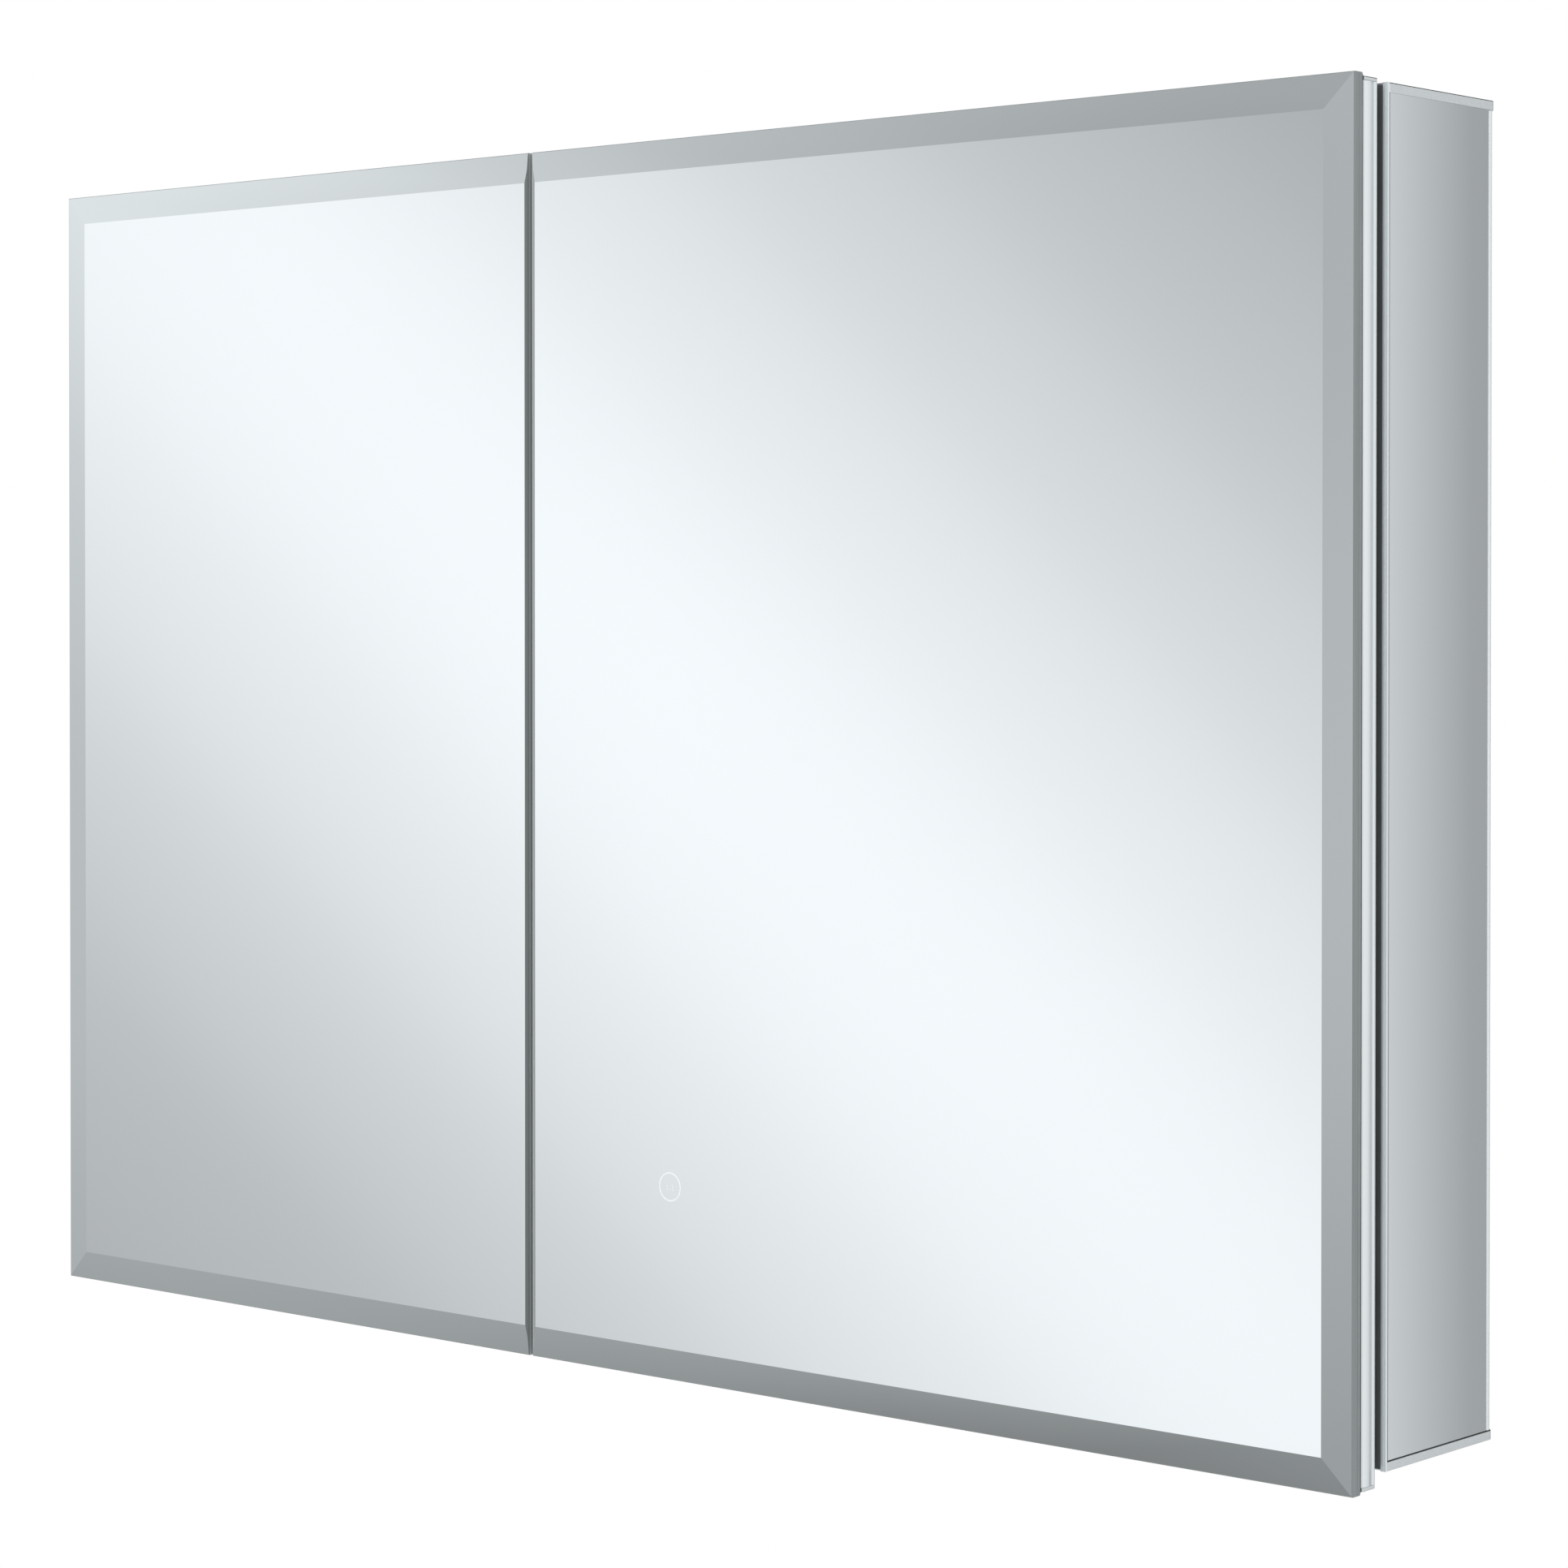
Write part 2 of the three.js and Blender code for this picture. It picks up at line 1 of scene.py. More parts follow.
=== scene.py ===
"""Looks of a two-door mirrored medicine cabinet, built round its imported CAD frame.

Metres, +Z up. The doors face -Y and the wall is the plane Y = 0. Most places follow the cabinet's
own two offsets, given here in millimetres:
  inset  how far a place lies in from the doors' outer side edge, towards the middle
  depth  how far a place lies behind the doors' front face
"""
import json
import math

import bmesh
import bpy
from mathutils import Matrix, Vector

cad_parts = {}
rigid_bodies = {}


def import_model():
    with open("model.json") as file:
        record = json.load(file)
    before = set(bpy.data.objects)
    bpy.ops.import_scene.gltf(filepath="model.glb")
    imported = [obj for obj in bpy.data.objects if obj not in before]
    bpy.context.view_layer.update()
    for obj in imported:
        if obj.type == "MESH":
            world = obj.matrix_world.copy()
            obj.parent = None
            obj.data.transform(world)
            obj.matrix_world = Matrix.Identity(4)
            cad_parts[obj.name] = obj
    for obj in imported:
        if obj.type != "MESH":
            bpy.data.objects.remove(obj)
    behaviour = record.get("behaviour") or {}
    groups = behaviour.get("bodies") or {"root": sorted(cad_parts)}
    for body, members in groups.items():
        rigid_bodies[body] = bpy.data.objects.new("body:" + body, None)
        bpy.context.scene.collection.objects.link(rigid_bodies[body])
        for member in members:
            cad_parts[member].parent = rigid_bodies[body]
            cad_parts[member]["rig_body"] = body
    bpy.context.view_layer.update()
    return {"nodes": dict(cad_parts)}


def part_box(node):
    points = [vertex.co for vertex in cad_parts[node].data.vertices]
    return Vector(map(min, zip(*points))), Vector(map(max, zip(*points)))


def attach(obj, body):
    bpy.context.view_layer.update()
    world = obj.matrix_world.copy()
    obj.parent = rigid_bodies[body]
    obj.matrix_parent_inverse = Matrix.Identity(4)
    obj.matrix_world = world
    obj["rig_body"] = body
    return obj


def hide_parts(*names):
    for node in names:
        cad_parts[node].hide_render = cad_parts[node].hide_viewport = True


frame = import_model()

MM = 0.001
NEAR = 0.1 * MM  # vertices within this of a plane are taken as lying in it
SIDES = {"left": -1, "right": 1}
LEVELS = ("upper", "lower")
HALF_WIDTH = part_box("front_mirror_right")[1].x
DOOR_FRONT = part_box("front_mirror_right")[0].y
SCENE = bpy.context.scene


def x_at(side, inset):
    return side * (HALF_WIDTH - inset * MM)


def y_at(depth):
    return DOOR_FRONT + depth * MM


def depth_of(y):
    return (y - DOOR_FRONT) / MM


class NodeTree:
    def __init__(self, tree):
        self.tree = tree

    def add(self, kind, **values):
        node = self.tree.nodes.new(kind)
        for name, value in values.items():
            setattr(node, name, value)
        return node

    def link(self, output, target):
        self.tree.links.new(output, target)


# ---------------------------------------------------------------- materials
NOISE_SPREAD = (0.3, 0.7)  # nearly all of a noise texture's values lie between these
FINE = 0.00002  # height in metres of a relief that only softens what a surface reflects


class Surface(NodeTree):
    """A Principled material whose colour, roughness and relief come from procedural textures."""

    def __init__(self, name, **sockets):
        self.material = bpy.data.materials.new(name)
        self.material.use_nodes = True
        super().__init__(self.material.node_tree)
        self.shader = self.tree.nodes["Principled BSDF"]
        self.place = self.add("ShaderNodeTexCoord").outputs["Object"]
        for socket, value in sockets.items():
            self.shader.inputs[socket.replace("_", " ")].default_value = value

    def noise(self, scale, detail=3.0, stretch=(1, 1, 1)):
        """Noise with a grain of 1 / scale metres. A stretch below 1 draws it out along that axis."""
        mapping = self.add("ShaderNodeMapping")
        mapping.inputs["Scale"].default_value = stretch
        self.link(self.place, mapping.inputs["Vector"])
        node = self.add("ShaderNodeTexNoise")
        node.inputs["Scale"].default_value = scale
        node.inputs["Detail"].default_value = detail
        self.link(mapping.outputs["Vector"], node.inputs["Vector"])
        return node.outputs["Fac"]

    def colour(self, texture, low, high):
        ramp = self.add("ShaderNodeValToRGB")
        for element, place, level in zip(ramp.color_ramp.elements, NOISE_SPREAD, (low, high)):
            element.position = place
            element.color = (*level, 1)
        self.link(texture, ramp.inputs["Fac"])
        self.link(ramp.outputs["Color"], self.shader.inputs["Base Color"])

    def roughness(self, texture, low, high):
        spread = self.add("ShaderNodeMapRange")
        sockets = ("From Min", "From Max", "To Min", "To Max")
        for socket, value in zip(sockets, (*NOISE_SPREAD, low, high)):
            spread.inputs[socket].default_value = value
        self.link(texture, spread.inputs["Value"])
        self.link(spread.outputs["Result"], self.shader.inputs["Roughness"])

    def relief(self, texture, strength, height):
        bump = self.add("ShaderNodeBump")
        bump.inputs["Strength"].default_value = strength
        bump.inputs["Distance"].default_value = height
        self.link(texture, bump.inputs["Height"])
        self.link(bump.outputs["Normal"], self.shader.inputs["Normal"])


def silver(name, low, high):
    """Silvered glass: almost perfectly smooth, with the faintest cloudiness in tint and polish."""
    surface = Surface(name, Metallic=1.0)
    surface.colour(surface.noise(3, 2.0), low, high)
    surface.roughness(surface.noise(14, 3.0), 0.012, 0.024)
    return surface.material


ANODISED = 0.65  # how metallic a milky anodised skin still looks
LIT_LIP_METALLIC = 0.3  # how metallic the side walls' lip and bead look, lowered with their paler colour as painted light
DRAW_LINE = 0.004  # how far noise is drawn out along an extrusion


def brushed(name, axis, low, high, rough, metallic=ANODISED, grain=0.03):
    """Anodised extrusion with draw lines along one axis (0 = X, 2 = Z): lines of half a millimetre in
    its polish and relief, and streaks of some 3 mm in its colour."""
    surface = Surface(name, Metallic=metallic)
    stretch = [1.0, 1.0, 1.0]
    stretch[axis] = DRAW_LINE
    lines = surface.noise(1800, 2.0, stretch)
    surface.colour(surface.noise(300, 4.0, stretch), low, high)
    surface.roughness(lines, *rough)
    surface.relief(lines, grain, FINE)
    return surface.material


def moulded(name, low, high, rough, grain, height):
    """Moulded plastic or rubber with a fine matt grain."""
    surface = Surface(name)
    surface.colour(surface.noise(30, 4.0), low, high)
    surface.roughness(surface.noise(220, 2.0), *rough)
    surface.relief(surface.noise(grain, 3.0), 0.25, height)
    return surface.material


def plated(name, low, high, rough):
    """Nickel-plated steel with a slight orange peel."""
    surface = Surface(name, Metallic=1.0)
    surface.colour(surface.noise(60, 3.0), low, high)
    surface.roughness(surface.noise(300, 3.0), *rough)
    surface.relief(surface.noise(700, 2.0), 0.08, FINE)
    return surface.material


def clear_glass():
    """Clear float glass with a trace of green and of wiping marks."""
    surface = Surface("shelf_glass_clear", Transmission_Weight=1.0, IOR=1.5)
    surface.colour(surface.noise(4, 2.0), (0.955, 0.985, 0.972), (0.965, 0.99, 0.98))
    surface.roughness(surface.noise(25, 3.0), 0.0, 0.012)
    return surface.material


GROUND = (0.16, 0.3)  # roughness of a ground glass edge


def ground_edge(name, low, high, rough=GROUND):
    """A ground glass edge: fine grinding lines along the edge under a polished skin."""
    surface = Surface(name, Coat_Weight=0.6, Coat_Roughness=0.06)
    surface.colour(surface.noise(120, 3.0, (1, 1, 0.05)), low, high)
    surface.roughness(surface.noise(900, 2.0, (1, 1, 0.02)), *rough)
    surface.relief(surface.noise(1600, 2.0, (1, 1, 0.02)), 0.1, FINE)
    return surface.material


SILVER = silver("mirror_silver", (0.885, 0.925, 0.945), (0.893, 0.933, 0.953))
BEVEL_SILVER = silver("mirror_bevel_silver", (0.875, 0.928, 0.948), (0.885, 0.936, 0.956))
SIDE_SILVER = silver("mirror_side_silver", (0.90, 0.948, 0.968), (0.91, 0.956, 0.976))
GLASS_EDGE = ground_edge("mirror_glass_edge", (0.20, 0.225, 0.228), (0.24, 0.265, 0.268))
# painted shade: the left door's meeting facets, darkened like the shade in the gap between the doors
FACET_PAINTED_SHADE = ground_edge("mirror_facet_dark", (0.115, 0.13, 0.132), (0.13, 0.145, 0.147))
# painted light: lit copies of the same glass edge for the right door's meeting facets; the pale one is
# a painted highlight line
FACET_PAINTED_DIM_LIGHT = ground_edge("mirror_facet_grey", (0.27, 0.29, 0.295), (0.3, 0.32, 0.325))
FACET_PAINTED_HIGHLIGHT = ground_edge("mirror_facet_pale", (0.46, 0.485, 0.49), (0.5, 0.525, 0.53))
# painted light: the meeting edges' glass made paler than the other glass edges, lifting the shade in
# the gap between the doors
MEETING_EDGE_PAINTED_LIGHT = ground_edge("mirror_meeting_edge", (0.36, 0.385, 0.39), (0.4, 0.425, 0.43))
SHELF_GLASS = clear_glass()
SHELF_EDGE = ground_edge("shelf_glass_edge", (0.30, 0.55, 0.47), (0.36, 0.62, 0.54), (0.05, 0.12))
BOARD_COLOURS = (0.235, 0.25, 0.256), (0.27, 0.287, 0.293)
BOARD = moulded("backing_board", *BOARD_COLOURS, (0.5, 0.65), 900, 0.00005)
TAPE_COLOURS = (0.006, 0.006, 0.007), (0.012, 0.012, 0.013)
TAPE = moulded("black_foam_tape", *TAPE_COLOURS, (0.75, 0.9), 1500, 0.0001)
FRAME_FINISH = (0.815, 0.855, 0.875), (0.845, 0.885, 0.905), (0.17, 0.23)
FRAME_Z = brushed("frame_aluminium_upright", 2, *FRAME_FINISH)
FRAME_X = brushed("frame_aluminium_level", 0, *FRAME_FINISH)
BODY_FINISH = (0.795, 0.835, 0.855), (0.825, 0.865, 0.885), (0.22, 0.28)
BODY_Z = brushed("body_aluminium_upright", 2, *BODY_FINISH)
# painted light: a paler, less metallic copy of the body's aluminium for the side walls' lip and bead
PAINTED_LIGHT_LIP_Z = brushed("side_trim_aluminium", 2, (0.84, 0.88, 0.9), (0.9, 0.94, 0.96), (0.2, 0.3), LIT_LIP_METALLIC)
BODY_X = brushed("body_aluminium_level", 0, *BODY_FINISH)
RUBBER_COLOURS = (0.06, 0.065, 0.067), (0.075, 0.081, 0.083)
RUBBER = moulded("seal_rubber", *RUBBER_COLOURS, (0.6, 0.8), 1200, 0.00006)
# painted reflection: dark lines on upward-facing rounded edges, standing in for a dark ceiling
# reflected there
PAINTED_DARK_EDGE_COLOURS = (0.03, 0.033, 0.034), (0.045, 0.049, 0.05)
PAINTED_DARK_EDGE = moulded("dark_sheet_edge", *PAINTED_DARK_EDGE_COLOURS, (0.4, 0.55), 1500, FINE)
STEEL = plated("hinge_nickel", (0.62, 0.63, 0.63), (0.72, 0.73, 0.73), (0.16, 0.28))
SCREW_STEEL = plated("screw_zinc", (0.5, 0.51, 0.52), (0.66, 0.67, 0.68), (0.22, 0.38))
WHITE = moulded("white_plastic", (0.74, 0.75, 0.745), (0.8, 0.805, 0.8), (0.36, 0.5), 1400, 0.00004)
BLACK_COLOURS = (0.014, 0.014, 0.015), (0.024, 0.024, 0.026)
BLACK = moulded("black_plastic", *BLACK_COLOURS, (0.4, 0.55), 1300, 0.00005)
AMBER = moulded("heating_film", (0.55, 0.33, 0.08), (0.62, 0.38, 0.1), (0.3, 0.42), 500, FINE)
COPPER = plated("heating_track", (0.72, 0.36, 0.2), (0.8, 0.42, 0.25), (0.25, 0.4))
FROST = moulded("frosted_print", (0.86, 0.9, 0.93), (0.92, 0.95, 0.98), (0.45, 0.6), 1800, FINE)


# ---------------------------------------------------------------- mesh helpers
def show(name, mesh, body, materials, replaced=(), smooth=35):
    """Puts a finished mesh in the scene as a piece of the object."""
    obj = bpy.data.objects.new(name, mesh)
    SCENE.collection.objects.link(obj)
    for material in materials:
        mesh.materials.append(material)
    mesh.shade_smooth()
    mesh.set_sharp_from_angle(angle=math.radians(smooth))
    weighted = obj.modifiers.new("flat_faces_stay_flat", "WEIGHTED_NORMAL")
    weighted.keep_sharp = True
    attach(obj, body)
    if replaced:
        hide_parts(*replaced)
    return obj


def body_of(node):
    return frame["nodes"][node]["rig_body"]


def stand_in(node, ending, mesh, materials, smooth=35):
    """Shows a mesh in place of one CAD node, on that node's body."""
    return show(f"{node}_{ending}", mesh, body_of(node), materials, [node], smooth)


def to_mesh(bm, name):
    bmesh.ops.recalc_face_normals(bm, faces=bm.faces)
    mesh = bpy.data.meshes.new(name)
    bm.to_mesh(mesh)
    bm.free()
    return mesh


def cad_copy(node):
    """The CAD node's mesh as whole faces, with its shared corners joined."""
    bm = bmesh.new()
    bm.from_mesh(frame["nodes"][node].data)
    bmesh.ops.remove_doubles(bm, verts=bm.verts, dist=0.01 * MM)
    flat = math.radians(0.5)
    bmesh.ops.dissolve_limit(bm, angle_limit=flat, verts=bm.verts, edges=bm.edges)
    return bm


def round_edges(bm, radius, segments=2, angle=30, chosen=None):
    """Rounds every edge sharper than angle, or only those for which chosen(edge) is true."""
    limit = math.radians(angle)
    sharp = [e for e in bm.edges if e.is_manifold and e.calc_face_angle(0) > limit]
    if chosen:
        sharp = [e for e in sharp if chosen(e)]
    bmesh.ops.bevel(
        bm, geom=sharp, offset=radius * MM, offset_type="OFFSET", segments=segments,
        profile=0.5, affect="EDGES", clamp_overlap=True,
    )


UPPER_EDGE = (0.15, 0.985)  # how far a rounded upper edge's faces point upwards, from and to


def paint_dark_upper_edge(bm, above):
    """Gives the second material, a painted dark reflection, to the rounded edges that face upwards,
    above a height.
    """
    bm.normal_update()
    for face in bm.faces:
        if UPPER_EDGE[0] < face.normal.z < UPPER_EDGE[1] and face.calc_center_median().z > above:
            face.material_index = 1


def refined(node, material, radius=0.4, segments=2, painted_dark_top=False, ending="fine"):
    """A CAD node again with softly rounded edges, and on request a painted dark reflection along its
    upper edges.
    """
    bm = cad_copy(node)
    round_edges(bm, radius, segments)
    materials = [material]
    if painted_dark_top:
        paint_dark_upper_edge(bm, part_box(node)[1].z - 1.0 * MM)
        materials.append(PAINTED_DARK_EDGE)
    return stand_in(node, ending, to_mesh(bm, node), materials)


def block_bm(lo, hi):
    """A box between two opposite corners."""
    bm = bmesh.new()
    bmesh.ops.create_cube(bm, size=1)
    size = Vector(hi) - Vector(lo)
    middle = (Vector(hi) + Vector(lo)) / 2
    bmesh.ops.scale(bm, vec=size, verts=bm.verts)
    bmesh.ops.translate(bm, vec=middle, verts=bm.verts)
    return bm


def evaluated_mesh(obj):
    """The object's mesh with its modifiers or curve settings applied."""
    evaluated = obj.evaluated_get(bpy.context.evaluated_depsgraph_get())
    return bpy.data.meshes.new_from_object(evaluated)


def outline_mesh(name, loops, thickness, edge=0.0, segments=2):
    """A flat plate from closed outlines (the first is the outside), in its own XY plane, from
    Z = 0 to Z = thickness, with its edges rounded by edge. All in metres."""
    curve = bpy.data.curves.new(name, "CURVE")
    curve.dimensions = "2D"
    curve.fill_mode = "BOTH"
    curve.extrude = thickness / 2 - edge
    curve.bevel_depth = edge
    curve.bevel_resolution = segments
    curve.offset = -edge
    for points in loops:
        spline = curve.splines.new("POLY")
        spline.points.add(len(points) - 1)
        for point, (a, b) in zip(spline.points, points):
            point.co = (a, b, 0, 1)
        spline.use_cyclic_u = True
    holder = bpy.data.objects.new(name, curve)
    SCENE.collection.objects.link(holder)
    mesh = evaluated_mesh(holder)
    bpy.data.objects.remove(holder)
    bpy.data.curves.remove(curve)
    bm = bmesh.new()
    bm.from_mesh(mesh)
    bpy.data.meshes.remove(mesh)
    bmesh.ops.remove_doubles(bm, verts=bm.verts, dist=0.005 * MM)
    bmesh.ops.translate(bm, vec=(0, 0, thickness / 2), verts=bm.verts)
    return to_mesh(bm, name)


# The outline's plane turned so that its own (X, Y) become world (X, Z) and its thickness runs to +Y.
ELEVATION = Matrix(((1, 0, 0, 0), (0, 0, 1, 0), (0, 1, 0, 0), (0, 0, 0, 1)))


def arc(centre, radius, start, end, steps):
    angles = [math.radians(start + (end - start) * i / steps) for i in range(steps + 1)]
    return [(centre[0] + radius * math.cos(a), centre[1] + radius * math.sin(a)) for a in angles]


def circle(centre, radius, steps=32):
    return arc(centre, radius, 0, 360, steps)[:-1]


def rounded_box(low, high, near, far):
    """Outline of a box between two corners of its plane. Its corners on the low side are rounded by
    near and those on the high side by far, each a (radius, steps) pair."""
    (a, c), (b, d) = low, high
    (near_radius, near_steps), (far_radius, far_steps) = near, far
    corners = [
        (b - near_radius, c + near_radius, near_radius, -90, near_steps),
        (b - far_radius, d - far_radius, far_radius, 0, far_steps),
        (a + far_radius, d - far_radius, far_radius, 90, far_steps),
        (a + near_radius, c + near_radius, near_radius, 180, near_steps),
    ]
    return [point for x, y, radius, start, steps in corners
            for point in arc((x, y), radius, start, start + 90, steps)]


def swept(section, start, end, axis):
    """A closed section of (a, b) points swept along an axis: 'z' sweeps an (x, y) section and
    'x' sweeps a (y, z) section. The ends are closed."""
    bm = bmesh.new()

    def corner(a, b, c):
        return (a, b, c) if axis == "z" else (c, a, b)

    rings = [[bm.verts.new(corner(a, b, c)) for a, b in section] for c in (start, end)]
    count = len(section)
    for i in range(count):
        j = (i + 1) % count
        bm.faces.new((rings[0][i], rings[0][j], rings[1][j], rings[1][i]))
    bm.faces.new(rings[0])
    bm.faces.new(rings[1])
    return bm


def lathe_bm(profile, steps=32, ring=False):
    """A solid of revolution about Z from (radius, height) points. They start and end on the axis,
    or go once round the section of a ring."""
    bm = bmesh.new()
    verts = [bm.verts.new((r, 0, h)) for r, h in profile]
    following = verts[1:] + verts[:1] if ring else verts[1:]
    edges = [bm.edges.new(pair) for pair in zip(verts, following)]
    bmesh.ops.spin(
        bm, geom=verts + edges, axis=(0, 0, 1), cent=(0, 0, 0), steps=steps,
        angle=math.tau, use_merge=True,
    )
    bmesh.ops.remove_doubles(bm, verts=bm.verts, dist=0.002 * MM)
    return bm


def carved(mesh, cutters):
    """The mesh with the cutters' solids taken out of it."""
    body = bpy.data.objects.new("carved", mesh)
    SCENE.collection.objects.link(body)
    tools = []
    for cutter in cutters:
        tool = bpy.data.objects.new("cutter", to_mesh(cutter, "cutter"))
        SCENE.collection.objects.link(tool)
        tools.append(tool)
        cut = body.modifiers.new("cut", "BOOLEAN")
        cut.operation = "DIFFERENCE"
        cut.solver = "EXACT"
        cut.object = tool
    result = evaluated_mesh(body)
    for obj in [body, *tools]:
        bpy.data.objects.remove(obj)
    return result


def placed(mesh, matrix):
    """The mesh itself, moved by the matrix, with its faces still looking outwards."""
    mesh.transform(matrix)
    if matrix.to_3x3().determinant() < 0:
        mesh.flip_normals()
    return mesh


def joined(parts, name):
    """One mesh from several (mesh, matrix) pairs."""
    bm = bmesh.new()
    for mesh, matrix in parts:
        copy = mesh.copy()
        placed(copy, matrix)
        bm.from_mesh(copy)
        bpy.data.meshes.remove(copy)
    mesh = bpy.data.meshes.new(name)
    bm.to_mesh(mesh)
    bm.free()
    return mesh


def slab_bm(lo, hi, facing, arris, square_top=False):
    """A pane with a small arris on every edge, or on all but the top ones. The face towards facing
    has the first material and the rest the second."""
    bm = block_bm(lo, hi)

    def below_top(edge):
        return not square_top or any(v.co.z < hi[2] - NEAR for v in edge.verts)

    round_edges(bm, arris, 1, 60, below_top)
    bm.normal_update()
    for face in bm.faces:
        face.material_index = 0 if face.normal.dot(Vector(facing)) > 0.99 else 1
    return bm


PANE_ARRIS = 0.4


def mirror_pane(node, facing, silvering, taller=0.0, square_top=False):
    """A flat mirror, silvered on the side towards facing and taller than its CAD node at each end."""
    lo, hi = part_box(node)
    lo.z -= taller * MM
    hi.z += taller * MM
    mesh = to_mesh(slab_bm(lo, hi, facing, PANE_ARRIS, square_top), node)
    return stand_in(node, "pane", mesh, [silvering, GLASS_EDGE], smooth=1)


# ---------------------------------------------------------------- doors
BEVEL = 19.05
BEVEL_DROP = 1.2
FACET_DROP = 1.1  # where the bevel and the meeting edge's facets end and the arris starts
GLASS = 6.0
ARRIS = 0.5
MEETING_ARRIS = 0.3
REAR_ARRIS = 0.15
# The polished meeting edge of each door has two facets. These are their inner ends, in from the
# edge, and the glass of each facet, of the arris and of the edge itself: painted shade on the left
# door's facets, painted light and a painted highlight line on the right door's, painted light on both
# edges.
MEETING_FACETS = {"left": (2.4, 0.7), "right": (3.6, 1.8)}
MEETING_LOOKS = {
    "left": (FACET_PAINTED_SHADE, FACET_PAINTED_SHADE, FACET_PAINTED_SHADE, MEETING_EDGE_PAINTED_LIGHT),
    "right": (FACET_PAINTED_DIM_LIGHT, FACET_PAINTED_HIGHLIGHT, FACET_PAINTED_HIGHLIGHT, MEETING_EDGE_PAINTED_LIGHT),
}
FACET_SHARE = 0.45  # share of the facets' drop at which the first one ends


def door_edges(name):
    """X of the door's outer and meeting edges, and +1 or -1 for the way inwards."""
    lo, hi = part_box(f"front_mirror_{name}")
    side = SIDES[name]
    outer, meeting = (hi.x, lo.x) if side > 0 else (lo.x, hi.x)
    return outer, meeting, -side


def front_mirror(name):
    """Bevelled mirror: a flat face, a wide ground bevel on three sides, a small arris round the
    outside and a polished edge in two facets where the doors meet, coloured with painted shade on the
    left door and painted light on the right."""
    node = f"front_mirror_{name}"
    outer, meeting, inward = door_edges(name)
    lo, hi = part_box(node)
    wide, narrow = MEETING_FACETS[name]
    part_in = BEVEL + (ARRIS - BEVEL) * FACET_SHARE
    rings_at = [  # (in from outer side, in from top and bottom, in from meeting edge, depth)
        (BEVEL, BEVEL, wide, 0.0),
        (part_in, part_in, narrow, FACET_DROP * FACET_SHARE),
        (ARRIS, ARRIS, MEETING_ARRIS, FACET_DROP),
        (0.0, 0.0, 0.0, BEVEL_DROP + ARRIS),
        (0.0, 0.0, 0.0, GLASS - REAR_ARRIS),
        (REAR_ARRIS, REAR_ARRIS, REAR_ARRIS, GLASS),
    ]
    looks = [SILVER, BEVEL_SILVER, GLASS_EDGE]
    looks += sorted(set(MEETING_LOOKS[name]), key=lambda look: look.name)
    bm = bmesh.new()
    rings = []
    for side_in, end_in, meeting_in, depth in rings_at:
        a = outer + inward * side_in * MM
        b = meeting - inward * meeting_in * MM
        low, high = lo.z + end_in * MM, hi.z - end_in * MM
        corners = [(a, low), (b, low), (b, high), (a, high)]
        rings.append([bm.verts.new((x, y_at(depth), z)) for x, z in corners])
    bm.faces.new(rings[0])
    back = bm.faces.new(rings[-1])
    bottom, at_meeting, top, at_outer = range(4)
    for index, (near, far) in enumerate(zip(rings, rings[1:])):
        bevelled = BEVEL_SILVER if index < 2 else GLASS_EDGE
        # the meeting edge takes this door's painted shade and painted light
        polished = MEETING_LOOKS[name][min(index, 3)]
        for i in (bottom, at_meeting, top, at_outer):
            j = (i + 1) % 4
            face = bm.faces.new((near[i], near[j], far[j], far[i]))
            face.material_index = looks.index(polished if i == at_meeting else bevelled)
    back.material_index = looks.index(GLASS_EDGE)
    stand_in(node, "bevelled", to_mesh(bm, node), looks, smooth=1)


for door in SIDES:
    front_mirror(door)

# ---- backing panels, foam tape ----
GLUE_LINE = 0.05
BACKING_FRONT = GLASS + GLUE_LINE
BACKING_BACK = 10.4
BACKING_ROUND = 1.9
TAPE_INSET = 1.0
TAPE_WIDTH = 20.0


def backing_panel(name):
    """The board behind the glass, with its rear outer edges rounded, and the foam tape behind it."""
    node = f"backing_panel_{name}"
    lo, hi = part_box(node)
    bm = cad_copy(node)
    for vert in bm.verts:
        if vert.co.y > hi.y - NEAR:
            vert.co.y = y_at(BACKING_BACK)
        elif vert.co.y < lo.y + NEAR:
            vert.co.y = y_at(BACKING_FRONT)

    def outer_rear(edge):
        middle = (edge.verts[0].co + edge.verts[1].co) / 2
        at_back = all(abs(v.co.y - y_at(BACKING_BACK)) < NEAR for v in edge.verts)
        rim = min(middle.x - lo.x, hi.x - middle.x, middle.z - lo.z, hi.z - middle.z) < NEAR
        return at_back and rim

    round_edges(bm, BACKING_ROUND, 3, 30, outer_rear)
    stand_in(node, "board", to_mesh(bm, node), [BOARD])

    def ring(inset):
        a, b = lo.x + inset * MM, hi.x - inset * MM
        c, d = lo.z + inset * MM, hi.z - inset * MM
        return [(a, c), (b, c), (b, d), (a, d)]

    front = y_at(BACKING_BACK + GLUE_LINE)
    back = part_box(f"top_rail_{name}")[0].y - GLUE_LINE * MM
    loops = [ring(TAPE_INSET), ring(TAPE_INSET + TAPE_WIDTH)]
    tape = outline_mesh("tape", loops, back - front)
    placed(tape, Matrix.Translation((0, front, 0)) @ ELEVATION)
    show(f"mounting_tape_{name}", tape, body_of(node), [TAPE])


for door in SIDES:
    backing_panel(door)

# ---- door frames ----
FRAME_FRONT = depth_of(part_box("top_rail_left")[0].y)
FRAME_BACK = depth_of(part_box("top_rail_left")[1].y)
STILE = 24.0
STILE_GROWTH = 0.22  # how far a stile runs past its CAD node, to meet the rails' plates
POCKET_REACH = 14.0
POCKET_INSETS = (1.6, 22.4)
POCKET_WEB = 1.4


